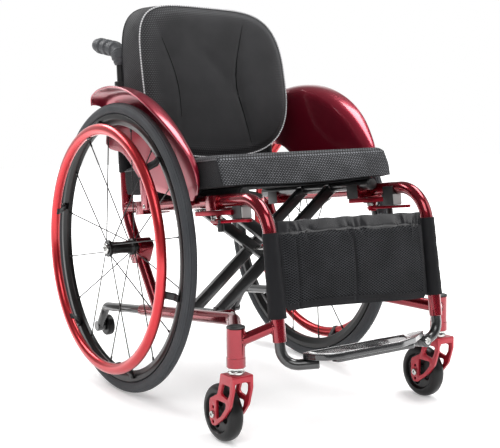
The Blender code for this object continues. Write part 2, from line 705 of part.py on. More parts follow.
def clothes_guard(material):
    """A panel beside the seat that curls outward over the tyre as a fender."""
    curl = 3
    bm = bmesh.new()
    rows = []
    edge = []
    front_angle = guard_front_angle()
    for share, clearance, flare, setback, lift in GUARD_STATIONS:
        angle = front_angle + (GUARD_REAR_ANGLE - front_angle) * share
        outer = TYRE_RADIUS + clearance
        height = FLARE_HEIGHT * min(1.0, 0.25 + flare / 0.020)
        ray = Vector((0, -math.cos(angle), math.sin(angle)))
        root = Vector((0, 0, HUB_HEIGHT)) + ray * (outer - height)
        low = rail_point(0, rail_along(root.y + setback, TOP_RAIL_HEIGHT), TOP_RAIL_HEIGHT)
        low.z += lift * (root.z - low.z)
        edge.append((low.dot(RAIL_AXIS), low.dot(RAIL_UP)))
        section = [low, low.lerp(root, 0.5)]
        for c in range(curl + 1):
            bend = math.pi / 2 * c / curl
            point = root + ray * (height * math.sin(bend))
            point.x = flare * (1 - math.cos(bend))
            section.append(point)
        section.append(section[-1] + Vector((flare * 0.2, 0, 0)))
        rows.append([bm.verts.new(point + Vector((GUARD_OFFSET, 0, 0))) for point in section])
    for row, after in zip(rows, rows[1:]):
        for i in range(len(row) - 1):
            bm.faces.new((row[i], row[i + 1], after[i + 1], after[i]))
    guard = finish("clothes_guard", bm, material)
    thick = guard.modifiers.new("Thickness", "SOLIDIFY")
    thick.thickness = GUARD_THICKNESS
    thick.offset = 0
    thick.use_even_offset = True
    apply_modifiers(guard)
    feet = []
    edge.reverse()
    for along in GUARD_FEET:
        top = float(np.interp(along, [u for u, w in edge], [w for u, w in edge])) + GUARD_FOOT_LAP
        feet.append(box("tab", rail_point, (GUARD_OFFSET - GUARD_THICKNESS / 2 - 0.0004,
                                            GUARD_OFFSET + GUARD_THICKNESS / 2 + 0.0004),
                        (along - 0.012, along + 0.012), (TOP_RAIL_HEIGHT - 0.007, top)))
        feet.append(box("foot", rail_point, (FRAME_HALF_WIDTH + FRAME_TUBE_RADIUS + TOUCH, GUARD_OFFSET),
                        (along - 0.009, along + 0.009), (TOP_RAIL_HEIGHT - 0.005, TOP_RAIL_HEIGHT + 0.005)))
    return union(guard, *feet)


def brake_body(material):
    """The brake's bar under the top rail, with the block that clamps it there."""
    low = TOP_RAIL_HEIGHT - BRAKE_BAR_DROP
    bar = box("brake_body", rail_point, (BRAKE_OFFSET - 0.0085, BRAKE_OFFSET + 0.0085),
              (BRAKE_PIVOT - 0.066, BRAKE_PIVOT + 0.062), (low, low + 0.0090), material)
    block = box("block", rail_point, (FRAME_HALF_WIDTH - 0.0155, FRAME_HALF_WIDTH + 0.0065),
                (BRAKE_PIVOT + 0.057, BRAKE_PIVOT + 0.088),
                (TOP_RAIL_HEIGHT - BRAKE_DROP + LEVER_THICKNESS / 2 + 2 * TOUCH, TOP_RAIL_HEIGHT - 0.001))
    union(bar, block)
    rail = rod("rail", rail_point(FRAME_HALF_WIDTH, 0.2, TOP_RAIL_HEIGHT),
               rail_point(FRAME_HALF_WIDTH, 0.5, TOP_RAIL_HEIGHT), FRAME_TUBE_RADIUS + TOUCH, sides=12)
    return cut(bar, rail)


def brake_lever(material):
    """The lever under the brake's rail. Its arm carries the roller that presses the tyre."""
    top = TOP_RAIL_HEIGHT - BRAKE_BAR_DROP - TOUCH
    height = TOP_RAIL_HEIGHT - BRAKE_DROP

    def place(a, b, c):
        return rail_point(BRAKE_OFFSET + a, BRAKE_PIVOT + b, c)

    arm = rounded_outline([(-0.006, -0.012), (0.008, -0.012), (0.0205, 0.036), (0.012, 0.046), (0.006, 0.060),
                           (0.0055, LEVER_LENGTH), (-0.0055, LEVER_LENGTH), (-0.006, 0.040)],
                          [0.005, 0.005, 0.005, 0.004, 0.010, 0.005, 0.005, 0.004], 2)
    lever = prism("brake_lever", arm, place, height - LEVER_THICKNESS / 2, height + LEVER_THICKNESS / 2, material)
    boss = rod("boss", place(0, 0, height - 0.006), place(0, 0, top), 0.0085)
    roller_a = ROLLER_REACH * math.sin(ROLLER_ANGLE)
    roller_b = ROLLER_REACH * math.cos(ROLLER_ANGLE)
    roller = rod("roller", place(roller_a, roller_b, height - 0.018), place(roller_a, roller_b, height + 0.004),
                 ROLLER_RADIUS)
    return union(lever, boss, roller)


def hanger_tube(material, hinged):
    """The bent tube below the frame. The left one ends in the footplate's hinge boss."""
    end = front_point(HINGE_OFFSET, 0, HANGER_DROP)
    if not hinged:
        end = front_point(HANGER_END_OFFSET, HANGER_END_FORWARD, HANGER_DROP)
    path = rounded_path([front_point(FRAME_HALF_WIDTH, 0, -HANGER_INSERT),
                         front_point(FRAME_HALF_WIDTH, 0, HANGER_DROP), end], [HANGER_BEND_RADIUS])
    length = path_frames(path)[0][-1]
    hanger = turned("hanger_tube", path, [(0, 0), (0, HANGER_RADIUS), (length - 0.002, HANGER_RADIUS),
                                          (length, HANGER_RADIUS - 0.002), (length, 0)], material)
    if hinged:
        boss = rod("boss", front_point(HINGE_OFFSET, -HINGE_SPLIT, HANGER_DROP),
                   front_point(HINGE_OFFSET, HINGE_SPLIT, HANGER_DROP), KNUCKLE_RADIUS, sides=16)
        union(hanger, boss)
        bore = rod("bore", front_point(HINGE_OFFSET, -0.03, HANGER_DROP),
                   front_point(HINGE_OFFSET, 0.03, HANGER_DROP), PIN_RADIUS + TOUCH)
        cut(hanger, bore)
    return hanger


def sleeve_outer():
    return FRAME_TUBE_RADIUS + TOUCH + SLEEVE_THICKNESS


def calf_sleeve(material):
    """The cloth sleeve that holds the calf bag on the front tube."""
    low, high = -SLEEVE_BOTTOM, -SLEEVE_TOP
    inner = FRAME_TUBE_RADIUS + TOUCH
    outer = sleeve_outer()
    return turned("calf_sleeve", front_path(FRAME_HALF_WIDTH),
                  [(low, inner), (low, outer + 0.0022), ((low + high) / 2, outer + 0.0006), (high, outer),
                   (high, inner)], material, 12)


def handle_path():
    x = FRAME_HALF_WIDTH
    elbow = post_point(x, 0, POST_LENGTH + HANDLE_ELBOW)
    end = elbow + Vector((0, 1, math.tan(HANDLE_RISE))) * HANDLE_REACH
    return rounded_path([post_point(x, 0, POST_LENGTH - HANDLE_INSERT), elbow, end], [HANDLE_BEND_RADIUS])


def push_handle(material):
    return tube_along("push_handle", handle_path(), HANDLE_RADIUS, material)


def handle_grip(material):
    """A ribbed grip over the handle's bend and rear end."""
    path = handle_path()
    tail = (path[-1] - path[-2]).normalized()
    length = path_frames(path)[0][-1]
    path = path[:-1] + [path[-1] + tail * 0.012]
    start = HANDLE_INSERT + 0.046
    end = length + 0.008
    bore = HANDLE_RADIUS + TOUCH
    profile = [(length + TOUCH, 0), (length + TOUCH, bore), (start, bore), (start, GRIP_RADIUS - 0.003),
               (start + 0.004, GRIP_RADIUS - 0.0012)]
    ribbed = end - start - 0.020
    for k in range(GRIP_RIBS):
        s = start + 0.010 + ribbed * k / GRIP_RIBS
        pitch = ribbed / GRIP_RIBS
        profile += [(s, GRIP_RADIUS - 0.0014), (s + pitch * 0.55, GRIP_RADIUS + 0.0012)]
    profile += [(end - 0.006, GRIP_RADIUS), (end, GRIP_RADIUS - 0.004), (end, 0)]
    return turned("handle_grip", path, profile, material)


def handle_collar(material):
    """The clamp collar on top of the back post."""
    inner, outer = FRAME_TUBE_RADIUS + TOUCH, FRAME_TUBE_RADIUS + 0.0022
    path = [post_point(FRAME_HALF_WIDTH, 0, POST_LENGTH - 0.010), post_point(FRAME_HALF_WIDTH, 0, POST_LENGTH + 0.012)]
    seat = 0.010 + TOUCH
    return turned("handle_collar", path, [(0, inner), (0, outer), (0.021, outer), (0.022, outer - 0.001),
                                          (0.022, HANDLE_BORE), (seat, HANDLE_BORE), (seat, inner)], material, 12)


def anti_tip_path():
    x = FRAME_HALF_WIDTH
    height = LOWER_RAIL_HEIGHT
    return rounded_path([rail_point(x, rail_along(LOWER_RAIL_REAR - 0.042, height), height),
                         rail_point(x, rail_along(ANTI_TIP_REACH_Y, height), height),
                         world(x, ANTI_TIP_END_Y, ANTI_TIP_END_Z)], [0.022])


def anti_tip_tube(material):
    tube = tube_along("anti_tip_tube", anti_tip_path(), ANTI_TIP_RADIUS, material)
    end = world(FRAME_HALF_WIDTH, ANTI_TIP_END_Y, ANTI_TIP_END_Z)
    inward = Vector((-1, 0, 0))
    axle = rod("axle", end, end + inward * (ANTI_TIP_RADIUS + ANTI_TIP_WHEEL_WIDTH + 0.006), PIN_RADIUS)
    head = rod("head", end + inward * (ANTI_TIP_RADIUS + ANTI_TIP_WHEEL_WIDTH + 0.0031),
               end + inward * (ANTI_TIP_RADIUS + ANTI_TIP_WHEEL_WIDTH + 0.0065), 0.0070)
    foot = rod("foot", end + Vector((ANTI_TIP_RADIUS, 0, 0)), end - Vector((ANTI_TIP_RADIUS + 0.0005, 0, 0)), 0.0115)
    return union(tube, foot, axle, head)


def anti_tip_wheel(material):
    end = world(FRAME_HALF_WIDTH, ANTI_TIP_END_Y, ANTI_TIP_END_Z)
    start = end - Vector((ANTI_TIP_RADIUS + 0.0008 + TOUCH, 0, 0))
    width = ANTI_TIP_WHEEL_WIDTH
    radius = ANTI_TIP_WHEEL_RADIUS
    bore = PIN_RADIUS + TOUCH
    return turned("anti_tip_wheel", [start, start - Vector((width, 0, 0))],
                  [(0, bore), (0, radius - 0.003), (0.003, radius), (width - 0.003, radius), (width, radius - 0.003),
                   (width, bore)], material, 18)


# Casters, drawn about their stem's foot on the floor: a is outboard, b is behind the stem, z is up.

def caster_place(a, b, z):
    return world(BARREL_OFFSET + a, BARREL_Y + b, z)


def caster_fork(material):
    """A cast fork: two legs with open windows under a crown, three axle holes, and its stem."""
    crown = FORK_TOP - FORK_CROWN
    inside = CASTER_WIDTH / 2 + 0.0015
    outside = inside + FORK_LEG
    axle_b, axle_z = CASTER_TRAIL, CASTER_RADIUS

    def leg_place(b, z, a):
        return caster_place(a, b, z)

    leg = rounded_outline(
        [(-0.0215, FORK_TOP), (0.0180, FORK_TOP), (0.0225, 0.1080), (0.0290, 0.0900), (0.0530, 0.0775),
         (0.0560, 0.0700), (0.0545, 0.0400), (0.0470, 0.0305), (0.0360, 0.0320), (0.0070, 0.0530),
         (-0.0110, 0.0740), (-0.0215, 0.1060)],
        [0, 0, 0.012, 0.010, 0.004, 0, 0.006, 0, 0.008, 0, 0.020, 0.012], 1)
    body = prism("caster_fork", leg, leg_place, -outside, outside, material)
    stem = rod("stem", caster_place(0, 0, FORK_TOP - 0.004), caster_place(0, 0, BARREL_TOP - 0.0140),
               STEM_RADIUS, sides=12)
    union(body, stem)
    gap = box("gap", caster_place, (-inside, inside), (-0.03, 0.08), (-0.01, crown))
    upper_window = prism("window", rounded_outline(
        [(-0.0120, 0.1120), (0.0110, 0.1120), (0.0185, 0.0935), (0.0130, 0.0900), (-0.0040, 0.0870),
         (-0.0110, 0.0990)], [0, 0.003, 0, 0, 0.003, 0.003], 1), leg_place, -0.03, 0.03)
    lower_window = prism("window", rounded_outline(
        [(0.0325, 0.0795), (0.0010, 0.0800), (0.0030, 0.0700), (0.0180, 0.0530), (0.0330, 0.0430)],
        [0.003, 0, 0.004, 0.006, 0.003], 1), leg_place, -0.03, 0.03)
    holes = []
    for step in (-1, 0, 1):
        centre = (axle_b, axle_z + 0.0130 * step)
        radius = BOLT_RADIUS + TOUCH if step == 0 else 0.0032
        holes.append(rod("hole", caster_place(-0.03, *centre), caster_place(0.03, *centre), radius, sides=12 if step == 0 else 8))
    return cut(body, gap, upper_window, lower_window, *holes)


def caster_wheel(material):
    """A solid tyre on an open-webbed hub."""
    half = CASTER_WIDTH / 2
    radius = CASTER_RADIUS
    bore = BOLT_RADIUS + TOUCH
    web = 0.005
    centre = caster_place(0, CASTER_TRAIL, CASTER_RADIUS)
    profile = [(0, bore), (0, 0.0105), (half - web, 0.0105), (half - web, radius - 0.0185),
               (0, radius - 0.0130), (0.0015, radius - 0.0030), (0.0060, radius)]
    mirrored_profile = [(CASTER_WIDTH - s, r) for s, r in reversed(profile)]
    wheel = turned("caster_wheel", [centre - Vector((half, 0, 0)), centre + Vector((half, 0, 0))],
                   profile + mirrored_profile, material, 22)
    holes = []
    for k in range(CASTER_HUB_OPENINGS):
        angle = 2 * math.pi * k / CASTER_HUB_OPENINGS + 0.3
        middle = centre + Vector((0, math.cos(angle), math.sin(angle))) * 0.0215
        holes.append(rod("hole", middle - Vector((0.02, 0, 0)), middle + Vector((0.02, 0, 0)), 0.0078, sides=6))
    return cut(wheel, *holes)


def caster_bolt(material):
    centre = caster_place(0, CASTER_TRAIL, CASTER_RADIUS)
    reach = CASTER_WIDTH / 2 + 0.0015 + FORK_LEG + TOUCH
    head = 0.0042
    total = 2 * (reach + head)
    return turned("caster_bolt", [centre - Vector((reach + head, 0, 0)), centre + Vector((reach + head, 0, 0))],
                  [(0, 0), (0, 0.0052), (0.001, 0.0062), (head, 0.0062), (head, BOLT_RADIUS),
                   (total - head, BOLT_RADIUS), (total - head, 0.0062), (total - 0.001, 0.0062), (total, 0.0052),
                   (total, 0)], material, 12)


def stem_cap(material):
    start = BARREL_TOP - 0.008
    return turned("stem_cap", [caster_place(0, 0, start), caster_place(0, 0, BARREL_TOP + 0.0036)],
                  [(0, 0), (0, STEM_BORE - TOUCH), (0.008 + TOUCH, STEM_BORE - TOUCH),
                   (0.008 + TOUCH, BARREL_RADIUS + 0.0004), (0.0100, BARREL_RADIUS + 0.0004), (0.0116, 0.0125),
                   (0.0116, 0)], material, 12)


def bearing_washer(material):
    """The turned bearing cup between the fork's crown and the barrel."""
    low, high = FORK_TOP + TOUCH, BARREL_BOTTOM - TOUCH
    bore = STEM_RADIUS + TOUCH
    return turned("bearing_washer", [caster_place(0, 0, low), caster_place(0, 0, high)],
                  [(0, bore), (0, 0.0148), (0.0040, 0.0148), (0.0055, 0.0130), (high - low, 0.0130),
                   (high - low, bore)], material, 14)


def seat_saddle(material, along):
    """A plastic block on the top rail with a cradle that the seat tube drops into."""
    low = TOP_RAIL_HEIGHT - FRAME_TUBE_RADIUS - 0.0040
    place = rail_point
    body = box("seat_saddle", lambda a, b, c: place(a, b, c),
               (PIVOT_HALF_SPACING - 0.0145, FRAME_HALF_WIDTH + FRAME_TUBE_RADIUS + 0.0040),
               (along - 0.017, along + 0.017), (low, SEAT_TUBE_HEIGHT), material)
    rail = rod("rail", place(FRAME_HALF_WIDTH, along - 0.05, TOP_RAIL_HEIGHT),
               place(FRAME_HALF_WIDTH, along + 0.05, TOP_RAIL_HEIGHT), FRAME_TUBE_RADIUS + TOUCH, sides=12)
    cradle = rod("cradle", place(PIVOT_HALF_SPACING, along - 0.05, SEAT_TUBE_HEIGHT),
                 place(PIVOT_HALF_SPACING, along + 0.05, SEAT_TUBE_HEIGHT), SEAT_TUBE_RADIUS + TOUCH)
    return cut(body, rail, cradle)


def pivot_pin(material):
    """The pin that the lower end of a brace member turns on."""
    start, end = EAR_REAR - EAR_THICKNESS / 2 - TOUCH, EAR_FRONT + EAR_THICKNESS / 2 + TOUCH
    head = 0.0035
    path = [rail_point(PIVOT_HALF_SPACING, start - head, LOWER_RAIL_HEIGHT),
            rail_point(PIVOT_HALF_SPACING, end + head, LOWER_RAIL_HEIGHT)]
    total = end - start + 2 * head
    return turned("pivot_pin", path, [(0, 0), (0, 0.0070), (head, 0.0070), (head, PIN_RADIUS),
                                      (total - head, PIN_RADIUS), (total - head, 0.0070), (total, 0.0070),
                                      (total, 0)], material, 10)


# Pieces between the sides

def brace_member(name, side, shift, material):
    """Two bars from the pivot tube low on this side to the seat tube high on the other side."""
    low = -side * PIVOT_HALF_SPACING
    high = side * PIVOT_HALF_SPACING
    rise = SEAT_TUBE_HEIGHT - LOWER_RAIL_HEIGHT
    length = math.hypot(2 * PIVOT_HALF_SPACING, rise)
    run = ((high - low) / length, rise / length)
    square = (-run[1], run[0])

    def place(a, b, c):
        return rail_point(low + run[0] * a + square[0] * b, c, LOWER_RAIL_HEIGHT + run[1] * a + square[1] * b)

    bars = []
    for along in (BRACE_REAR_BAR + shift, BRACE_REAR_BAR + BAR_SPACING + shift):
        bars.append(box("bar", place, (0, length), (-BAR_WIDTH / 2, BAR_WIDTH / 2),
                        (along - BAR_DEPTH / 2, along + BAR_DEPTH / 2)))
    seat_path = [rail_point(high, SEAT_TUBE_REAR, SEAT_TUBE_HEIGHT), rail_point(high, SEAT_TUBE_FRONT, SEAT_TUBE_HEIGHT)]
    tube_length = SEAT_TUBE_FRONT - SEAT_TUBE_REAR
    member = turned(name, seat_path, [(0, 0), (0, SEAT_TUBE_RADIUS - 0.002), (0.002, SEAT_TUBE_RADIUS),
                                      (tube_length - 0.002, SEAT_TUBE_RADIUS),
                                      (tube_length, SEAT_TUBE_RADIUS - 0.002), (tube_length, 0)], material, 12)
    gap = EAR_THICKNESS / 2 + TOUCH
    pivot = rod("pivot", rail_point(low, EAR_REAR + gap, LOWER_RAIL_HEIGHT),
                rail_point(low, EAR_FRONT - gap, LOWER_RAIL_HEIGHT), PIVOT_TUBE_RADIUS)
    union(member, pivot, *bars)
    holes = [rod("hole", rail_point(low, EAR_REAR - 0.02, LOWER_RAIL_HEIGHT),
                 rail_point(low, EAR_FRONT + 0.02, LOWER_RAIL_HEIGHT), PIN_RADIUS + TOUCH, sides=10),
             rod("hole", rail_point(0, 0.10, BRACE_CENTRE_HEIGHT), rail_point(0, 0.34, BRACE_CENTRE_HEIGHT),
                 PIN_RADIUS + TOUCH, sides=10)]
    return cut(member, *holes)


def centre_pin(material):
    start = BRACE_REAR_BAR - BAR_DEPTH / 2 - TOUCH
    end = BRACE_REAR_BAR + BAR_SPACING + MEMBER_OFFSET + BAR_DEPTH / 2 + TOUCH
    head = 0.0040
    path = [rail_point(0, start - head, BRACE_CENTRE_HEIGHT), rail_point(0, end + head, BRACE_CENTRE_HEIGHT)]
    total = end - start + 2 * head
    return turned("centre_pin", path, [(0, 0), (0, 0.0085), (head, 0.0085), (head, PIN_RADIUS),
                                       (total - head, PIN_RADIUS), (total - head, 0.0085), (total, 0.0085),
                                       (total, 0)], material, 10)


def footplate(material):
    """The one-piece plate, its rib and its hinge knuckle."""
    low = HANGER_DROP - HANGER_RADIUS - TOUCH
    high = low - PLATE_THICKNESS
    split = HINGE_SPLIT + TOUCH
    right, rear, front = PLATE_RIGHT_END, PLATE_REAR, PLATE_FRONT
    outline = rounded_outline([(right, rear + 0.008), (right + 0.022, rear), (0.080, rear), (0.096, split),
                               (HINGE_OFFSET - 0.006, split), (HINGE_OFFSET - 0.006, HINGE_FRONT - 0.002),
                               (0.112, 0.034), (0.060, 0.074), (0.010, front), (-0.120, front),
                               (right + 0.006, front - 0.008), (right, front - 0.030)],
                              [0.010, 0.008, 0.006, 0.003, 0.002, 0.002, 0.010, 0.030, 0.030, 0.020, 0.012, 0.010], 2)
    plate = prism("footplate", outline, front_point, high, low, material)
    knuckle = rod("knuckle", front_point(HINGE_OFFSET, split, HANGER_DROP),
                  front_point(HINGE_OFFSET, HINGE_FRONT, HANGER_DROP), KNUCKLE_RADIUS, sides=16)
    rib = box("rib", front_point, (-0.118, 0.055), (0.055, 0.078), (low - 0.002, low + 0.0080))
    union(plate, knuckle, rib)
    recess = prism("recess", rounded_outline([(right + 0.018, rear + 0.008), (0.072, rear + 0.008),
                                              (0.040, front - 0.020), (0.004, front - 0.009),
                                              (right + 0.030, front - 0.009), (right + 0.014, front - 0.030)],
                                             [0.010, 0.010, 0.016, 0.016, 0.014, 0.010], 2),
                   front_point, high - 0.01, high + 0.0016)
    bore = rod("bore", front_point(HINGE_OFFSET, 0, HANGER_DROP), front_point(HINGE_OFFSET, 0.03, HANGER_DROP),
               PIN_RADIUS + TOUCH)
    return cut(plate, recess, bore)


def footplate_pin(material):
    start, end = TOUCH - HINGE_SPLIT, HINGE_FRONT + TOUCH
    path = [front_point(HINGE_OFFSET, start, HANGER_DROP), front_point(HINGE_OFFSET, end + 0.003, HANGER_DROP)]
    total = end + 0.003 - start
    return turned("footplate_pin", path, [(0, 0), (0, PIN_RADIUS), (total - 0.003, PIN_RADIUS),
                                          (total - 0.003, 0.0066), (total, 0.0060), (total, 0)], material, 12)


def superellipse(half_a, half_b, power):
    """The edge of a box-like oval, by its angle on the unit square."""
    def edge(angle):
        c, s = math.cos(angle), math.sin(angle)
        scale = (abs(c) ** power + abs(s) ** power) ** (-1 / power)
        return half_a * c * scale, half_b * s * scale
    return edge


def seat_cushion(material):
    """A crowned pad whose sides and front lean in towards its top."""
    low = SEAT_TUBE_HEIGHT + SEAT_TUBE_RADIUS + SLING_THICKNESS + 3 * TOUCH
    middle = (SEAT_CUSHION_REAR + SEAT_CUSHION_FRONT) / 2
    half = (SEAT_CUSHION_FRONT - SEAT_CUSHION_REAR) / 2
    edge = superellipse(SEAT_CUSHION_HALF_WIDTH, half, 20)

    def face(a, b, m):
        return low + SEAT_CUSHION_THICKNESS + 0.004 * (1 - m * m) - 0.003 * max(0.0, m - 0.9) / 0.1

    def back(a, b, m):
        return low + 0.003 * max(0.0, m - 0.9) / 0.1

    def place(a, b, h):
        rise = (h - low) / SEAT_CUSHION_THICKNESS
        lean = 0.025 * rise * max(0.0, b / half) ** 2
        return rail_point(a * (1 - 0.025 * rise), middle + b - lean, h)

    return cushion("seat_cushion", edge, face, back, place, material, (16, 14))


def seat_sling(material):
    """Cloth across the two seat tubes, sagging a little between them."""
    low = SEAT_TUBE_HEIGHT + SEAT_TUBE_RADIUS + TOUCH
    half = PIVOT_HALF_SPACING
    columns = 12
    bm = bmesh.new()
    layers = []
    for lift in (0, SLING_THICKNESS):
        rows = []
        for along in (SEAT_TUBE_REAR + 0.010, SEAT_TUBE_FRONT - 0.004):
            row = []
            for i in range(columns + 1):
                part = 2 * i / columns - 1
                sag = 0.0105 * (1 - part * part) ** 1.5
                row.append(bm.verts.new(rail_point(half * part, along, low + lift - sag)))
            rows.append(row)
        layers.append(rows)
    for rows in layers:
        for i in range(columns):
            bm.faces.new((rows[0][i], rows[0][i + 1], rows[1][i + 1], rows[1][i]))
    under, over = layers
    for i in range(columns):
        for end in (0, 1):
            bm.faces.new((under[end][i], under[end][i + 1], over[end][i + 1], over[end][i]))
    for i in (0, columns):
        bm.faces.new((under[0][i], under[1][i], over[1][i], over[0][i]))
    return finish("seat_sling", bm, material)


def back_sling(material):
    """The back upholstery: a panel between two sleeves round the back posts."""
    low, high = 0.072, POST_LENGTH - 0.013
    inner = FRAME_TUBE_RADIUS + TOUCH
    outer = inner + SLING_THICKNESS
    reach = FRAME_HALF_WIDTH - inner * 0.5
    section = [(a * reach, -outer + 0.0012 * (1 - a * a)) for a in (-1, -0.6, 0, 0.6, 1)]
    section += [(a, b + 0.0030) for a, b in reversed(section)]
    panel = prism("back_sling", section, post_point, low, high, material)
    sides = (-FRAME_HALF_WIDTH, FRAME_HALF_WIDTH)
    union(panel, *[rod("sleeve", post_point(x, 0, low), post_point(x, 0, high), outer) for x in sides])
    return cut(panel, *[rod("post", post_point(x, 0, low - 0.01), post_point(x, 0, high + 0.01), inner)
                        for x in sides])


def back_cushion(material):
    """A thick pad with a crowned face that leans back, and two curved seams."""
    half = (BACK_CUSHION_TOP - BACK_CUSHION_BOTTOM) / 2
    middle = (BACK_CUSHION_BOTTOM + BACK_CUSHION_TOP) / 2
    edge = superellipse(BACK_CUSHION_HALF_WIDTH, half, 3.6)
    rear = -(FRAME_TUBE_RADIUS + TOUCH + SLING_THICKNESS + BACK_CUSHION_GAP)

    def face(a, b, m):
        crown = 0.013 * (1 - m ** 3)
        seam = 0.0
        line = 0.062 + 0.040 * (b / half - 0.35) ** 2
        for side in (-1, 1):
            seam += 0.005 * math.exp(-((a - side * line) / 0.010) ** 2) * (1 - m ** 4)
        front = -0.043 + 0.235 * (middle + b - BACK_CUSHION_BOTTOM)
        return front - crown + seam + 0.010 * max(0.0, m - 0.92) / 0.08

    def back(a, b, m):
        return post_point(0, rear, middle + b - POST_FOOT_Z).y - 0.003 * max(0.0, m - 0.9) / 0.1

    def place(a, b, h):
        return world(a, h, middle + b)

    return cushion("back_cushion", edge, face, back, place, material, (18, 14))


def calf_bag(material):
    """The bag between the front tubes: a gathered top band over a fuller pocket."""
    reach = FRAME_HALF_WIDTH - sleeve_outer() - 0.0022 - 2 * TOUCH
    columns, rows = 16, 7
    bm = bmesh.new()
    sheets = []
    for face in (0, 1):
        sheet = []
        for j in range(rows + 1):
            v = j / rows
            row = []
            for i in range(columns + 1):
                part = 2 * i / columns - 1
                edge = 1 - part ** 6
                down = CALF_BAG_TOP + (CALF_BAG_BOTTOM - CALF_BAG_TOP) * v
                down -= 0.003 * (1 - part * part) * (1 - v) + 0.008 * (1 - part ** 4) * v
                full = CALF_BAG_BULGE * math.sin(math.pi * min(1.0, v * 1.08)) ** 0.7 * edge
                fold = 0.0022 * math.sin(part * 19 + 1.0) * edge * math.exp(-((v - 0.10) / 0.22) ** 2)
                forward = -0.0040 + fold if face == 0 else 0.0008 + fold + full
                row.append(bm.verts.new(front_point(reach * part, forward, down)))
            sheet.append(row)
        sheets.append(sheet)
    for sheet in sheets:
        for j in range(rows):
            for i in range(columns):
                bm.faces.new((sheet[j][i], sheet[j][i + 1], sheet[j + 1][i + 1], sheet[j + 1][i]))
    rims = [sheet[0][:-1] + [row[-1] for row in sheet[:-1]] + sheet[-1][:0:-1] + [row[0] for row in sheet[:0:-1]]
            for sheet in sheets]
    for i in range(len(rims[0])):
        j = (i + 1) % len(rims[0])
        bm.faces.new((rims[0][i], rims[0][j], rims[1][j], rims[1][i]))
    return finish("calf_bag", bm, material, 50)


# Assembly

def mirrored(obj, name):
    """A copy for the other side of the chair."""
    mesh = obj.data.copy()
    mesh.transform(Matrix.Diagonal((-1, 1, 1, 1)))
    mesh.flip_normals()
    copy = bpy.data.objects.new(name, mesh)
    bpy.context.scene.collection.objects.link(copy)
    return copy


def joint_empty(name, point, parent=None):
    empty = bpy.data.objects.new(name, None)
    empty.empty_display_size = 0.03
    bpy.context.scene.collection.objects.link(empty)
    empty.location = Vector(point)
    if parent is not None:
        attach(empty, parent)
    return empty


def origin_of(obj):
    return obj.location + (origin_of(obj.parent) if obj.parent else Vector())


def attach(obj, parent):
    """Parents an object and leaves it where it is."""
    obj.location = obj.location - origin_of(parent)
    obj.parent = parent


def build_side_pieces(paint):
    """The left side's solids, by node name."""
    wheel_parts = {"wheel": rim_and_spokes(paint["black metal"]), "tyre": tyre(paint["rubber"]),
                   "handrim": handrim(paint["anodised red"]), "axle_pin": axle_pin(paint["silver"]),
                   "axle_button": axle_button(paint["silver"])}
    for part in wheel_parts.values():
        part.data.transform(wheel_matrix())
    pieces = {
        "side_frame": side_frame(paint["red"]), "axle_bracket": axle_bracket(paint["red"]),
        "clothes_guard": clothes_guard(paint["red"]), "brake_body": brake_body(paint["red"]),
        "brake_lever": brake_lever(paint["anodised red"]), "calf_sleeve": calf_sleeve(paint["cloth"]),
        "push_handle": push_handle(paint["black metal"]), "handle_grip": handle_grip(paint["grip"]),
        "handle_collar": handle_collar(paint["black plastic"]),
        "anti_tip_tube": anti_tip_tube(paint["black metal"]),
        "anti_tip_wheel": anti_tip_wheel(paint["rubber"]), "caster_fork": caster_fork(paint["bright red"]),
        "caster_wheel": caster_wheel(paint["rubber"]), "caster_bolt": caster_bolt(paint["silver"]),
        "stem_cap": stem_cap(paint["black plastic"]), "bearing_washer": bearing_washer(paint["silver"]),
        "saddle_front": seat_saddle(paint["black plastic"], 0.340),
        "saddle_rear": seat_saddle(paint["black plastic"], 0.060),
        "pivot_pin": pivot_pin(paint["black metal"])}
    pieces.update(wheel_parts)
    return pieces


def joint_points(sign):
    """Where the moving pieces of one side turn, for the side at +X or -X."""
    points = {
        "wheel_axis": axle_point(0), "caster_swivel": caster_place(0, 0, BARREL_BOTTOM),
        "caster_axis": caster_place(0, CASTER_TRAIL, CASTER_RADIUS),
        "brake_pivot": rail_point(BRAKE_OFFSET, BRAKE_PIVOT, TOP_RAIL_HEIGHT - BRAKE_DROP),
        "handle_slide": post_point(FRAME_HALF_WIDTH, 0, POST_LENGTH),
        "anti_tip_turn": rail_point(FRAME_HALF_WIDTH, rail_along(LOWER_RAIL_REAR, LOWER_RAIL_HEIGHT),
                                    LOWER_RAIL_HEIGHT),
        "anti_tip_axis": world(FRAME_HALF_WIDTH, ANTI_TIP_END_Y, ANTI_TIP_END_Z),
        "button_slide": axle_point(HUB_OUTER_REACH)}
    return {name: Vector((sign * point.x, point.y, point.z)) for name, point in points.items()}


MOVING = {"wheel": "wheel_axis", "tyre": "wheel_axis", "handrim": "wheel_axis", "caster_fork": "caster_swivel",
          "caster_bolt": "caster_swivel", "caster_wheel": "caster_axis", "brake_lever": "brake_pivot",
          "push_handle": "handle_slide", "handle_grip": "handle_slide", "anti_tip_tube": "anti_tip_turn",
          "anti_tip_wheel": "anti_tip_axis", "axle_button": "button_slide"}
PARENT_JOINTS = {"caster_axis": "caster_swivel", "anti_tip_axis": "anti_tip_turn"}


def assemble_side(pieces, side, sign, base):
    """Names one side's solids, and hangs each moving one on an empty at its joint."""
    empties = {}
    for name, point in joint_points(sign).items():
        parent = empties.get(PARENT_JOINTS.get(name), base)
        empties[name] = joint_empty(side + "_" + name, point, parent)
    for name, piece in pieces.items():
        joint = MOVING.get(name)
        parent = empties[joint] if joint else base
        put_origin(piece, origin_of(parent) if joint else (0, 0, 0))
        attach(piece, parent)


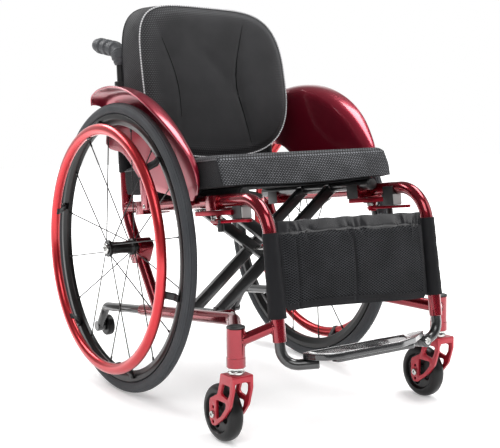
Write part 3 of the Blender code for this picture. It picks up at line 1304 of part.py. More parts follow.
def main():
    clear_scene()
    paint = {
        "red": make_material("Candy red paint", RED, 0.22, 0.75),
        "anodised red": make_material("Anodised red", BRIGHT_RED, 0.30, 0.85),
        "bright red": make_material("Red casting", BRIGHT_RED, 0.35, 0.55),
        "black metal": make_material("Black coated metal", BLACK, 0.28, 0.60),
        "black plastic": make_material("Black plastic", BLACK, 0.45, 0.0),
        "rubber": make_material("Black rubber", DARK_GREY, 0.75, 0.0),
        "grip": make_material("Grey grip rubber", (0.10, 0.11, 0.12, 1.0), 0.65, 0.0),
        "silver": make_material("Bright steel", SILVER, 0.25, 1.0),
        "cloth": make_material("Black cloth", BLACK, 0.90, 0.0),
        "mesh cloth": make_material("Grey spacer cloth", DARK_GREY, 0.85, 0.0)}

    left = build_side_pieces(paint)
    right = {name: mirrored(piece, "right_" + name) for name, piece in left.items()}
    left["hanger_tube"] = hanger_tube(paint["black metal"], True)
    plain_hanger = hanger_tube(paint["black metal"], False)
    right["hanger_tube"] = mirrored(plain_hanger, "right_hanger_tube")
    bpy.data.objects.remove(plain_hanger, do_unlink=True)
    for name, piece in left.items():
        piece.name = "left_" + name

    right_base = joint_empty("right_side", (0, 0, 0))
    fold_axis = joint_empty("brace_a_pivot", rail_point(-PIVOT_HALF_SPACING, 0, LOWER_RAIL_HEIGHT), right_base)
    centre_axis = joint_empty("brace_centre", rail_point(0, 0, BRACE_CENTRE_HEIGHT), fold_axis)
    left_axis = joint_empty("brace_b_pivot", rail_point(PIVOT_HALF_SPACING, 0, LOWER_RAIL_HEIGHT), centre_axis)
    seat_axis = joint_empty("seat_pivot", rail_point(-PIVOT_HALF_SPACING, 0, SEAT_TUBE_HEIGHT), centre_axis)
    plate_axis = joint_empty("footplate_pivot", front_point(HINGE_OFFSET, 0, HANGER_DROP), left_axis)
    assemble_side(right, "right", -1, right_base)
    assemble_side(left, "left", 1, left_axis)

    centre = {
        "brace_a": (brace_member("brace_a", 1, 0, paint["black metal"]), fold_axis),
        "brace_b": (brace_member("brace_b", -1, MEMBER_OFFSET, paint["black metal"]), centre_axis),
        "centre_pin": (centre_pin(paint["silver"]), fold_axis),
        "seat_sling": (seat_sling(paint["cloth"]), seat_axis),
        "seat_cushion": (seat_cushion(paint["mesh cloth"]), seat_axis),
        "back_sling": (back_sling(paint["cloth"]), right_base),
        "back_cushion": (back_cushion(paint["cloth"]), right_base),
        "calf_bag": (calf_bag(paint["cloth"]), right_base),
        "footplate": (footplate(paint["black metal"]), plate_axis),
        "footplate_pin": (footplate_pin(paint["silver"]), left_axis)}
    for piece, parent in centre.values():
        put_origin(piece, origin_of(parent))
        attach(piece, parent)
    bpy.context.view_layer.update()


main()
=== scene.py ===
# Folding wheelchair: fine metalwork, soft goods and finishes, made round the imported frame.
# Metres, front of the chair towards -Y, +Z up. Each side is drawn once, as the left side at +X.
import math

import bmesh
import bpy
import numpy as np
from mathutils import Matrix, Vector
from mathutils.bvhtree import BVHTree


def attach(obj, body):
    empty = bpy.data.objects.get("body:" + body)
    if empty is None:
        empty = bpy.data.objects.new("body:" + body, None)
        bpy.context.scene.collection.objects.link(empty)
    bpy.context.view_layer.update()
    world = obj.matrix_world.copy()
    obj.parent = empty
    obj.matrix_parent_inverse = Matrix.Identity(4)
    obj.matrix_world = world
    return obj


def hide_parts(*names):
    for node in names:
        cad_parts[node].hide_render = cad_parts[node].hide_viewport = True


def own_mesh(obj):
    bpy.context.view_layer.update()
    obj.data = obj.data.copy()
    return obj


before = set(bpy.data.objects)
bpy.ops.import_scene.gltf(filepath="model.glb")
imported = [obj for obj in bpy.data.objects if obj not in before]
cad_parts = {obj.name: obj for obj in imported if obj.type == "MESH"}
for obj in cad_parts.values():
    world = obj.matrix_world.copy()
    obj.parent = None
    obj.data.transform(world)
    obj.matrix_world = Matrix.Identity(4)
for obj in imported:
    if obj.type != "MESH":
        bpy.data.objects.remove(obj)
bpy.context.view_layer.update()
print("frame loaded:", len(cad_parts), "nodes")

chair = {
    "halfWidth": 0.181,          # centre plane of the frame's tubes
    "tubeRadius": 0.012,
    "railPitch": math.radians(6.9),
    "railHeight": 0.3725,
    "lowerRailHeight": 0.1575,
    "frontLean": math.radians(8.2),
    "frontFoot": (-0.487, 0.186),
    "postFoot": (0.0685, 0.370),
    "postLean": math.radians(3.5),
    "postLength": 0.252,
    "camber": math.radians(0.9),
    "wheelPlane": 0.2337,
    "tyreRadius": 0.295,
    "stem": (0.2369, -0.4364),   # the caster's stem, outboard and from the rear axle
    "pivotHalf": 0.150,
    "seatTubeHeight": 0.3835,
    "gap": 0.0003,               # running clearance
}
hubHeight = chair["tyreRadius"] * math.cos(chair["camber"])
gap = chair["gap"]
sides = {"left": 1, "right": -1}


# Places on the chair

def pointsFrom(x, y, z):
    return np.stack(np.broadcast_arrays(x, y, z), axis=-1) * 1.0


def railPoint(x, along, height):
    # along: forward along the rails; height: square to them
    c, s = math.cos(chair["railPitch"]), math.sin(chair["railPitch"])
    return pointsFrom(x, height * s - along * c, along * s + height * c)


def railAlong(y, height):
    return (height * math.sin(chair["railPitch"]) - y) / math.cos(chair["railPitch"])


def frontPoint(x, forward, down):
    # forward: ahead of the front tube's axis; down: below its foot, along it
    c, s = math.cos(chair["frontLean"]), math.sin(chair["frontLean"])
    y, z = chair["frontFoot"]
    return pointsFrom(x, y - forward * c - down * s, z + forward * s - down * c)


def postPoint(x, behind, up):
    # behind: behind the back post's axis; up: above its foot, along it
    c, s = math.cos(chair["postLean"]), math.sin(chair["postLean"])
    y, z = chair["postFoot"]
    return pointsFrom(x, y + behind * c + up * s, z - behind * s + up * c)


def casterPoint(x, behind, z):
    # about the caster's stem: x outboard, behind it, and up from the floor
    return pointsFrom(chair["stem"][0] + x, chair["stem"][1] + behind, z)


# directions: ahead along the rails and square up from them, ahead of and down the front tube, up the
# back post
railAhead, railUp = railPoint(0, 1, 0) - railPoint(0, 0, 0), railPoint(0, 0, 1) - railPoint(0, 0, 0)
frontAhead, frontDown = frontPoint(0, 1, 0) - frontPoint(0, 0, 0), frontPoint(0, 0, 1) - frontPoint(0, 0, 0)
postUp = postPoint(0, 0, 1) - postPoint(0, 0, 0)
outboard, upright = (1, 0, 0), (0, 0, 1)
wheelTilt = Matrix.Rotation(-chair["camber"], 4, "Y")
wheelPlace = Matrix.Translation((chair["wheelPlane"], 0, hubHeight)) @ wheelTilt


# Points and outlines

def unit(v):
    v = np.asarray(v, float)
    return v / np.linalg.norm(v, axis=-1, keepdims=True)


def circle(radius, count=28):
    angle = np.linspace(0, 2 * math.pi, count, endpoint=False)
    return np.stack([radius * np.cos(angle), radius * np.sin(angle)], axis=-1)


def arcAt(before, corner, after, radius, samples):
    # a corner's arc, turned from its start to its end about the arc's centre
    back, ahead = unit(before - corner), unit(after - corner)
    half = (math.pi - math.acos(float(np.clip(back @ ahead, -1, 1)))) / 2
    centre = corner + unit(back + ahead) * radius / math.cos(half)
    start = corner + back * radius * math.tan(half) - centre
    end = corner + ahead * radius * math.tan(half) - centre
    part, whole = np.linspace(0, 1, samples + 1)[:, None], 2 * half
    return centre + (start * np.sin((1 - part) * whole) + end * np.sin(part * whole)) / math.sin(whole)


def roundedPath(points, radii, samples=14):
    # straight runs between the points, with an arc of each radius at the inner corners
    points = np.asarray(points, float)
    arcs = [arcAt(a, b, c, r, samples) for a, b, c, r in zip(points[:-2], points[1:-1], points[2:], radii)]
    return np.vstack([points[:1]] + arcs + [points[-1:]])


def roundedOutline(points, radii, samples=6):
    # the same, closed on itself; a radius of 0 keeps the corner
    points = np.asarray(points, float)
    before, after = np.roll(points, 1, 0), np.roll(points, -1, 0)
    return np.vstack([b[None] if r == 0 else arcAt(a, b, c, r, samples)
                      for a, b, c, r in zip(before, points, after, radii)])


def roundedBox(width, height, radius, samples=4):
    w, h = width / 2, height / 2
    return roundedOutline([(w, -h), (w, h), (-w, h), (-w, -h)], [radius] * 4, samples)


def stadium(a0, a1, b, radius, samples=10):
    # a slot's outline: half circles about (a0, b) and (a1, b)
    turn = np.linspace(-math.pi / 2, math.pi / 2, samples + 1)
    half = np.stack([np.cos(turn), np.sin(turn)], axis=-1) * radius
    return np.vstack([half + (a1, b), (a0, b) - half])


def lengthsAlong(path):
    return np.concatenate([[0], np.cumsum(np.linalg.norm(np.diff(path, axis=0), axis=1))])


def pointsAt(path, distances):
    # the path's points at these distances along it
    lengths = lengthsAlong(path)
    return np.stack([np.interp(distances, lengths, path[:, k]) for k in range(path.shape[1])], axis=-1)


def smoothStep(x, low, high):
    t = np.clip((np.asarray(x, float) - low) / (high - low), 0, 1)
    return t * t * (3 - 2 * t)


# Meshes

def facesOut(mesh):
    shape = bmesh.new()
    shape.from_mesh(mesh)
    bmesh.ops.recalc_face_normals(shape, faces=shape.faces)
    shape.to_mesh(mesh)
    shape.free()
    return mesh


def gridMesh(name, grid, wrapRows=False, wrapColumns=True, caps=True, uv=None):
    # quads between neighbouring rows and columns of points; an open end of a wrapped grid gets one face
    rows, columns = grid.shape[:2]
    index = np.arange(rows * columns).reshape(rows, columns)
    a = index if wrapRows else index[:-1]
    b = np.roll(index, -1, 0) if wrapRows else index[1:]
    if wrapColumns:
        quads = np.stack([a, np.roll(a, -1, 1), np.roll(b, -1, 1), b], axis=-1)
    else:
        quads = np.stack([a[:, :-1], a[:, 1:], b[:, 1:], b[:, :-1]], axis=-1)
    faces = quads.reshape(-1, 4).tolist()
    quadCount = len(faces)
    if caps and wrapColumns and not wrapRows:
        faces += [index[0].tolist(), index[-1].tolist()]
    mesh = bpy.data.meshes.new(name)
    mesh.from_pydata(grid.reshape(-1, 3).tolist(), [], faces)
    if uv is not None:
        u = np.concatenate([uv, uv[:1]], 0) if wrapRows and uv.shape[0] == rows else uv
        corners = np.stack([u[:-1, :-1], u[:-1, 1:], u[1:, 1:], u[1:, :-1]], axis=2).reshape(-1, 2)
        values = np.zeros((len(mesh.loops), 2))
        values[:quadCount * 4] = corners
        mesh.uv_layers.new(name="cloth").data.foreach_set("uv", values.ravel())
    return facesOut(mesh)


def sweep(name, path, section, reference=(1, 0, 0), closed=False, scale=None):
    # carries an outline along a path: its first axis follows the reference direction, its second is square
    # to that and to the path
    path = np.asarray(path, float)
    ahead = np.roll(path, -1, 0) - np.roll(path, 1, 0) if closed else np.gradient(path, axis=0)
    ahead = unit(ahead)
    up = unit(np.cross(ahead, np.broadcast_to(np.asarray(reference, float), path.shape)))
    across = np.cross(up, ahead)
    section = np.asarray(section, float)
    if section.ndim == 2:
        section = np.broadcast_to(section, (len(path),) + section.shape)
    if scale is not None:
        section = section * np.asarray(scale, float)[:, None, None]
    grid = path[:, None] + section[..., :1] * across[:, None] + section[..., 1:] * up[:, None]
    return gridMesh(name, grid, wrapRows=closed)


def tube(name, path, radius, rounding=0.0008, count=28, reference=(1, 0, 0)):
    # a round bar along the path, its two ends eased by a small chamfer
    path = np.asarray(path, float)
    start = path[0] + unit(path[1] - path[0]) * rounding
    end = path[-1] + unit(path[-2] - path[-1]) * rounding
    path = np.vstack([path[:1], start, path[1:-1], end, path[-1:]])
    scale = np.ones(len(path))
    scale[[0, -1]] = 1 - rounding / radius
    return sweep(name, path, circle(radius, count), reference, scale=scale)


def turned(name, profile, origin, axis, count=48, closed=False):
    # spins a profile of (distance along the axis, radius) about the axis
    axis = unit(axis)
    side = unit(np.cross(axis, (0, 0, 1) if abs(axis[2]) < 0.9 else (0, 1, 0)))
    angle = np.linspace(0, 2 * math.pi, count, endpoint=False)[:, None]
    ring = np.cos(angle) * side + np.sin(angle) * np.cross(axis, side)
    profile = np.asarray(profile, float)
    grid = np.asarray(origin, float) + profile[:, :1, None] * axis + profile[:, 1:, None] * ring
    return gridMesh(name, grid, wrapRows=closed)


def plate(name, outline, place, low, high, edge=0.0008, steps=3):
    # an outline extruded from low to high; its rims are rounded by quarter circles of the edge's size
    outline = np.asarray(outline, float)
    ahead, back = unit(np.roll(outline, -1, 0) - outline), unit(outline - np.roll(outline, 1, 0))
    normal = unit(np.stack([ahead[:, 1] + back[:, 1], -ahead[:, 0] - back[:, 0]], axis=-1))
    area = np.sum(outline[:, 0] * np.roll(outline[:, 1], -1) - np.roll(outline[:, 0], -1) * outline[:, 1])
    normal = normal * np.sign(area)
    turn = np.linspace(0, math.pi / 2, steps + 1)
    inset = np.concatenate([edge * (1 - np.sin(turn)), edge * (1 - np.cos(turn))])
    rise = np.sign(high - low) * edge
    height = np.concatenate([low + rise * (1 - np.cos(turn)), high - rise * (1 - np.sin(turn))])
    flat = outline[None] - normal[None] * inset[:, None, None]
    grid = place(flat[..., 0], flat[..., 1], np.broadcast_to(height[:, None], flat.shape[:2]))
    return gridMesh(name, grid)


def pinProfile(start, end, shank, head):
    # a shank with the same head at both ends; the head's points are (height above its seat, radius)
    return ([(start - a, r) for a, r in head[::-1]] + [(start, shank), (end, shank)]
            + [(end + a, r) for a, r in head])


def helix(centre, axis, side, radius, pitch, turns, samples=20):
    # points on a coil: round the axis once for each pitch along it
    axis, side = unit(axis), unit(side)
    angle = np.linspace(0, 2 * math.pi * turns, int(turns * samples) + 1)[:, None]
    ring = np.cos(angle) * side + np.sin(angle) * np.cross(axis, side)
    return np.asarray(centre, float) + ring * radius + axis * pitch * angle / (2 * math.pi)


def together(name, meshes, merge=0.0):
    # several meshes as one, keeping their UV maps and each one's material number
    shape = bmesh.new()
    for mesh in meshes:
        shape.from_mesh(mesh)
    joined = bpy.data.meshes.new(name)
    if merge:
        bmesh.ops.remove_doubles(shape, verts=shape.verts, dist=merge)
        bmesh.ops.recalc_face_normals(shape, faces=shape.faces)
    shape.to_mesh(joined)
    shape.free()
    for mesh in meshes:
        bpy.data.meshes.remove(mesh)
    return joined


def mirroredMesh(mesh, name):
    # the other side of the chair: X turned round, and the faces turned back out
    copy = mesh.copy()
    copy.name = name
    copy.transform(Matrix.Diagonal((-1, 1, 1, 1)))
    copy.flip_normals()
    return copy


def applied(piece):
    # the piece with its modifiers worked in
    mesh = bpy.data.meshes.new_from_object(piece.evaluated_get(bpy.context.evaluated_depsgraph_get()))
    piece.modifiers.clear()
    old, piece.data = piece.data, mesh
    bpy.data.meshes.remove(old)
    return piece


def loose(name, data):
    piece = bpy.data.objects.new(name, data)
    bpy.context.scene.collection.objects.link(piece)
    return piece


def meshFrom(piece):
    # a working object's mesh; the object itself goes
    mesh = piece.data
    bpy.data.objects.remove(piece, do_unlink=True)
    return mesh


def setParts(mesh, number):
    numbers = np.broadcast_to(number, len(mesh.polygons)).astype(np.int32)
    mesh.polygons.foreach_set("material_index", numbers)
    return mesh


def centresOf(mesh):
    centres = np.zeros(len(mesh.polygons) * 3)
    mesh.polygons.foreach_get("center", centres)
    return centres.reshape(-1, 3)


def rounded(piece, width, segments=2, angle=38):
    # eases every edge sharper than the angle
    bevel = piece.modifiers.new("Eased edges", "BEVEL")
    bevel.width = width
    bevel.segments = segments
    bevel.limit_method = "ANGLE"
    bevel.angle_limit = math.radians(angle)
    bevel.harden_normals = False
    bevel.use_clamp_overlap = True
    return applied(piece)


def worked(name, mesh, joined=(), cutters=(), edge=0.0):
    # a mesh with others joined to it and cut out of it, and its edges then eased
    piece = loose(name, mesh)
    for operation, others in (("UNION", joined), ("DIFFERENCE", cutters)):
        for other in others:
            tool = loose("tool", other)
            modifier = piece.modifiers.new("Shape", "BOOLEAN")
            modifier.operation = operation
            modifier.solver = "EXACT"
            modifier.object = tool
            applied(piece)
            bpy.data.objects.remove(tool, do_unlink=True)
    if edge:
        rounded(piece, edge)
    return meshFrom(piece)


def carried(node, edge):
    # a copy of a CAD mesh, merged, with its flat triangles joined and its edges eased
    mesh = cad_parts[node].data.copy()
    shape = bmesh.new()
    shape.from_mesh(mesh)
    bmesh.ops.remove_doubles(shape, verts=shape.verts, dist=2e-6)
    bmesh.ops.dissolve_limit(shape, angle_limit=math.radians(1.5), verts=shape.verts, edges=shape.edges)
    bmesh.ops.recalc_face_normals(shape, faces=shape.faces)
    shape.to_mesh(mesh)
    shape.free()
    mesh.materials.clear()
    return meshFrom(rounded(loose(node, mesh), edge))


# the colour slot that each hard or outer finish fills
slots = {
    "frameRed": "frame_red", "guardRed": "guard_red", "rimRed": "anodised_red", "leverRed": "anodised_red",
    "forkRed": "cast_red", "blackTube": "black_tube", "wheelBlack": "wheel_black",
    "plastic": "black_plastic",
    "greyBlock": "black_plastic", "plateBlack": "plate_black", "rubber": "black_rubber",
    "gripRubber": "grip_rubber", "tyreRubber": "tyre_rubber", "steel": "bright_steel",
    "sleeveCloth": "black_cloth", "seatMesh": "seat_cloth", "backFace": "back_cloth", "net": "black_cloth",
}


def addPiece(name, mesh, finish, body, nodes=(), slot=None, smooth=35):
    # a finished piece: shaded, painted, riding on its body, and standing for its CAD nodes; one with several
    # finishes names them in the order of its faces' material numbers
    finishes = [finish] if isinstance(finish, str) else finish
    for one in finishes:
        mesh.materials.append(paint[one])
    mesh.shade_smooth()
    mesh.set_sharp_from_angle(angle=math.radians(smooth))
    piece = loose(name + "_fine", mesh)
    mesh.name = piece.name
    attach(piece, body)
    if nodes:
        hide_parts(*nodes)
    slot = slot or slots.get(finishes[0])
    return piece


def addPair(name, mesh, finish, body, nodes=(), slot=None, smooth=35):
    # the same piece on both sides; body and nodes are named without their side
    for side in ("right", "left"):
        own = mesh if side == "left" else mirroredMesh(mesh, name)
        ownNodes = [side + "_" + node for node in nodes]
        addPiece(side + "_" + name, own, finish, side + "_" + body, ownNodes, slot, smooth)


def weldBead(foot, run, radius, mainPoint, mainAxis, mainRadius, thick=0.0019):
    # a rippled bead along the seam where a tube meets a larger one: on each line of the tube's wall, the
    # point whose distance from the main axis is the main radius
    run, mainAxis = unit(run), unit(mainAxis)
    side = unit(np.cross(run, mainAxis))
    angle = np.linspace(0, 2 * math.pi, 72, endpoint=False)[:, None]
    wall = np.asarray(foot) + radius * (np.cos(angle) * side + np.sin(angle) * np.cross(run, side))
    offset = wall - np.asarray(mainPoint)
    offset = offset - (offset @ mainAxis)[:, None] * mainAxis
    ray = run - (run @ mainAxis) * mainAxis
    a, b = ray @ ray, offset @ ray
    c = np.sum(offset * offset, axis=1) - mainRadius ** 2
    reach = (-b - np.sqrt(np.maximum(b * b - a * c, 0))) / a
    seam = wall + reach[:, None] * run
    ripple = 1 + 0.12 * np.cos(angle[:, 0] * 18)
    return sweep("weld", seam, circle(thick, 8), -run, closed=True, scale=ripple)


# Shader groups

def newGroup(name, inputs, outputs):
    # an empty shader group, what writes its steps, and the sockets at its two ends
    group = bpy.data.node_groups.new(name, "ShaderNodeTree")
    kinds = {"f": "NodeSocketFloat", "v": "NodeSocketVector", "c": "NodeSocketColor"}
    for way, sockets in (("INPUT", inputs), ("OUTPUT", outputs)):
        for socketName, kind, *value in sockets:
            socket = group.interface.new_socket(name=socketName, in_out=way, socket_type=kinds[kind])
            if value:
                socket.default_value = value[0]
    given, out = group.nodes.new("NodeGroupInput").outputs, group.nodes.new("NodeGroupOutput").inputs
    return group, Wiring(group), given, out


class Wiring:
    # adds nodes to a tree and links them, so that a material reads as a list of steps
    def __init__(self, tree):
        self.tree = tree

    def put(self, socket, value):
        if isinstance(value, bpy.types.NodeSocket):
            self.tree.links.new(value, socket)
        else:
            socket.default_value = value

    def math(self, operation, a, b=0.0, c=0.0):
        node = self.tree.nodes.new("ShaderNodeMath")
        node.operation = operation
        for socket, value in zip(node.inputs, (a, b, c)):
            self.put(socket, value)
        return node.outputs[0]

    def plus(self, a, b):
        return self.math("ADD", a, b)

    def minus(self, a, b):
        return self.math("SUBTRACT", a, b)

    def times(self, a, b):
        return self.math("MULTIPLY", a, b)

    def over(self, a, b):
        return self.math("DIVIDE", a, b)

    def vector(self, operation, a, b=(0, 0, 0)):
        node = self.tree.nodes.new("ShaderNodeVectorMath")
        node.operation = operation
        self.put(node.inputs[0], a)
        self.put(node.inputs[1], b)
        return node.outputs[0]

    def scaled(self, a, factor):
        node = self.tree.nodes.new("ShaderNodeVectorMath")
        node.operation = "SCALE"
        self.put(node.inputs[0], a)
        self.put(node.inputs["Scale"], factor)
        return node.outputs[0]

    def split(self, value):
        node = self.tree.nodes.new("ShaderNodeSeparateXYZ")
        self.put(node.inputs[0], value)
        return node.outputs

    def noise(self, place, scale, detail=3.0, roughness=0.5):
        node = self.tree.nodes.new("ShaderNodeTexNoise")
        self.put(node.inputs["Vector"], place)
        self.put(node.inputs["Scale"], scale)
        node.inputs["Detail"].default_value = detail
        node.inputs["Roughness"].default_value = roughness
        return node.outputs["Fac"]

    def ramp(self, value, low, high, toLow=0.0, toHigh=1.0, smooth=True):
        node = self.tree.nodes.new("ShaderNodeMapRange")
        node.interpolation_type = "SMOOTHSTEP" if smooth else "LINEAR"
        for socket, item in zip(node.inputs, (value, low, high, toLow, toHigh)):
            self.put(socket, item)
        return node.outputs[0]

    def mix(self, share, a, b):
        node = self.tree.nodes.new("ShaderNodeMix")
        node.data_type = "RGBA"
        self.put(node.inputs[0], share)
        self.put(node.inputs[6], a)
        self.put(node.inputs[7], b)
        return node.outputs[2]

    def bump(self, height, strength, distance, normal=None):
        node = self.tree.nodes.new("ShaderNodeBump")
        self.put(node.inputs["Height"], height)
        self.put(node.inputs["Strength"], strength)
        node.inputs["Distance"].default_value = distance
        if normal is not None:
            self.put(node.inputs["Normal"], normal)
        return node.outputs[0]

    def coordinates(self, kind):
        if kind == "UV":
            node = self.tree.nodes.new("ShaderNodeUVMap")
            node.uv_map = "cloth"
            return node.outputs[0]
        return self.tree.nodes.new("ShaderNodeTexCoord").outputs[kind]

    def group(self, tree, **values):
        node = self.tree.nodes.new("ShaderNodeGroup")
        node.node_tree = tree
        for name, value in values.items():
            self.put(node.inputs[name], value)
        return node.outputs


def finishGroup():
    # grain of a made surface: colour drifts with broad noise, roughness with finer noise, and a fine bump
    group, w, given, out = newGroup(
        "Surface grain",
        [("Place", "v"), ("Colour", "c"), ("Second", "c"), ("Drift", "f", 0.3), ("Scale", "f", 20.0),
         ("Rough", "f", 0.4), ("Spread", "f", 0.1), ("Grain", "f", 800.0), ("Bump", "f", 0.05)],
        [("Colour", "c"), ("Roughness", "f"), ("Normal", "v")])
    broad = w.noise(given["Place"], given["Scale"], 4.0, 0.55)
    share = w.times(w.ramp(broad, 0.3, 0.7), given["Drift"])
    w.put(out["Colour"], w.mix(share, given["Colour"], given["Second"]))
    smudge = w.noise(given["Place"], w.times(given["Scale"], 2.7), 5.0, 0.6)
    change = w.times(w.minus(smudge, 0.5), given["Spread"])
    w.put(out["Roughness"], w.plus(given["Rough"], change))
    fine = w.noise(given["Place"], given["Grain"], 2.0, 0.5)
    w.put(out["Normal"], w.bump(fine, given["Bump"], 0.0006))
    return group


def scuffGroup():
    # fine scratches: two noises, each stretched along its own direction, kept where they peak
    group, w, given, out = newGroup("Scuffs", [("Place", "v"), ("Amount", "f", 0.5)], [("Mask", "f")])
    one = w.noise(w.vector("MULTIPLY", given["Place"], (60, 420, 60)), 1.0, 3.0, 0.6)
    two = w.noise(w.vector("MULTIPLY", given["Place"], (90, 70, 520)), 1.0, 3.0, 0.6)
    where = w.ramp(w.noise(given["Place"], 14.0, 2.0), 0.45, 0.7)
    peaks = w.math("MAXIMUM", w.ramp(one, 0.64, 0.72), w.ramp(two, 0.66, 0.74))
    w.put(out["Mask"], w.times(w.times(peaks, where), given["Amount"]))
    return group


def weaveGroup():
    # plain weave: two sine ridges crossing, each over the other by turns
    group, w, given, out = newGroup("Plain weave", [("Place", "v"), ("Pitch", "f", 0.0006)],
                                    [("Height", "f"), ("Mask", "f")])
    u, v, _ = w.split(w.scaled(given["Place"], w.over(math.pi, given["Pitch"])))
    warp = w.math("ABSOLUTE", w.math("SINE", u))
    weft = w.math("ABSOLUTE", w.math("SINE", v))
    over = w.times(w.math("SINE", w.times(u, 0.5)), w.math("SINE", w.times(v, 0.5)))
    side = w.ramp(over, -0.2, 0.2)
    height = w.plus(w.times(warp, side), w.times(weft, w.minus(1.0, side)))
    w.put(out["Height"], height)
    w.put(out["Mask"], w.math("POWER", height, 2.0))
    return group


def spacerGroup():
    # spacer cloth: short light dashes in staggered rows, one in each cell of the pitch
    group, w, given, out = newGroup(
        "Spacer cloth", [("Place", "v"), ("Pitch", "f", 0.0055), ("Rise", "f", 0.8)],
        [("Mask", "f"), ("Height", "f")])
    u, v, _ = w.split(given["Place"])
    row = w.over(v, w.times(given["Pitch"], given["Rise"]))
    shift = w.times(w.math("FLOORED_MODULO", w.math("FLOOR", row), 2.0), 0.5)
    column = w.plus(w.over(u, given["Pitch"]), shift)
    a = w.minus(w.math("FRACT", column), 0.5)
    b = w.minus(w.math("FRACT", row), 0.5)
    reach = w.math("SQRT", w.plus(w.math("POWER", w.over(a, 0.36), 2.0),
                                  w.math("POWER", w.over(b, 0.27), 2.0)))
    mask = w.ramp(reach, 0.75, 1.15, 1.0, 0.0)
    w.put(out["Mask"], mask)
    w.put(out["Height"], mask)
    return group


def netGroup():
    # diamond net: threads where either slanting coordinate crosses a whole number
    group, w, given, out = newGroup(
        "Diamond net", [("Place", "v"), ("Pitch", "f", 0.006), ("Thread", "f", 0.13)],
        [("Mask", "f"), ("Height", "f")])
    u, v, _ = w.split(given["Place"])
    u = w.over(u, given["Pitch"])
    v = w.over(v, w.times(given["Pitch"], 0.56))
    threads = []
    for slant in (w.plus(u, v), w.minus(u, v)):
        distance = w.math("ABSOLUTE", w.minus(w.math("FRACT", slant), 0.5))
        threads.append(w.minus(0.5, distance))
    nearest = w.math("MINIMUM", threads[0], threads[1])
    mask = w.ramp(nearest, w.times(given["Thread"], 0.6), given["Thread"], 1.0, 0.0)
    w.put(out["Mask"], mask)
    w.put(out["Height"], mask)
    return group


groups = {"grain": finishGroup(), "scuff": scuffGroup(), "weave": weaveGroup(), "spacer": spacerGroup(),
          "net": netGroup()}


# Finishes

def newFinish(name, **values):
    # a Principled material with plain values on its own sockets
    material = bpy.data.materials.new(name)
    material.use_nodes = True
    shader = material.node_tree.nodes["Principled BSDF"]
    for socket, value in values.items():
        shader.inputs[socket.replace("_", " ")].default_value = value
    return material, Wiring(material.node_tree), shader


def feed(w, shader, colour, roughness, normal):
    for name, value in (("Base Color", colour), ("Roughness", roughness), ("Normal", normal)):
        w.put(shader.inputs[name], value)


def hardFinish(name, colour, second, metallic, rough, coat=0.0, coatRough=0.05, scale=14.0, spread=0.12,
               grain=900.0, bump=0.03, scuffs=0.0, scuffColour=(0.3, 0.3, 0.3, 1), specular=0.5):
    # paint, coated metal, castings and plastics: grain over the whole, scuffs where they are asked for
    material, w, shader = newFinish(name, Metallic=metallic, Coat_Weight=coat, Coat_Roughness=coatRough,
                                    Specular_IOR_Level=specular)
    place = w.coordinates("Object")
    made = w.group(groups["grain"], Place=place, Colour=colour, Second=second, Drift=0.5, Scale=scale,
                   Rough=rough, Spread=spread, Grain=grain, Bump=bump)
    paint, roughness = made["Colour"], made["Roughness"]
    if scuffs:
        mask = w.group(groups["scuff"], Place=place, Amount=scuffs)["Mask"]
        paint = w.mix(mask, paint, scuffColour)
        roughness = w.plus(roughness, w.times(mask, 0.25))
    feed(w, shader, paint, roughness, made["Normal"])
    return material


def clothFinish(name, colour, second, rough, sheen, pitch=0.0007, bump=0.5, specular=0.5):
    # woven cloth: weave in the bump and slightly in the colour, and a soft drift where it is rubbed
    material, w, shader = newFinish(name, Sheen_Weight=sheen, Sheen_Roughness=0.45,
                                    Specular_IOR_Level=specular)
    weave = w.group(groups["weave"], Place=w.coordinates("UV"), Pitch=pitch)
    body = w.coordinates("Object")
    made = w.group(groups["grain"], Place=body, Colour=colour, Second=second, Drift=0.6, Scale=9.0,
                   Rough=rough, Spread=0.15, Grain=500.0, Bump=0.1)
    shade = w.mix(w.times(weave["Mask"], 0.35), made["Colour"], second)
    feed(w, shader, shade, made["Roughness"], w.bump(weave["Height"], bump, 0.0004, made["Normal"]))
    return material


def spacerFinish(name, ground, dash, pitch, rise, strength):
    # two-layer spacer cloth: dark ground showing between short pale dashes
    material, w, shader = newFinish(name, Sheen_Weight=0.05, Sheen_Roughness=0.5, Specular_IOR_Level=0.25)
    place = w.coordinates("UV")
    body = w.coordinates("Object")
    wander = w.vector("ADD", place, w.scaled(w.noise(body, 60.0), 0.0006))
    dots = w.group(groups["spacer"], Place=wander, Pitch=pitch, Rise=rise)
    made = w.group(groups["grain"], Place=body, Colour=dash, Second=ground, Drift=0.45, Scale=26.0,
                   Rough=0.72, Spread=0.2, Grain=700.0, Bump=0.15)
    shade = w.mix(w.times(dots["Mask"], strength), ground, made["Colour"])
    feed(w, shader, shade, made["Roughness"], w.bump(dots["Height"], 0.6, 0.0008, made["Normal"]))
    return material


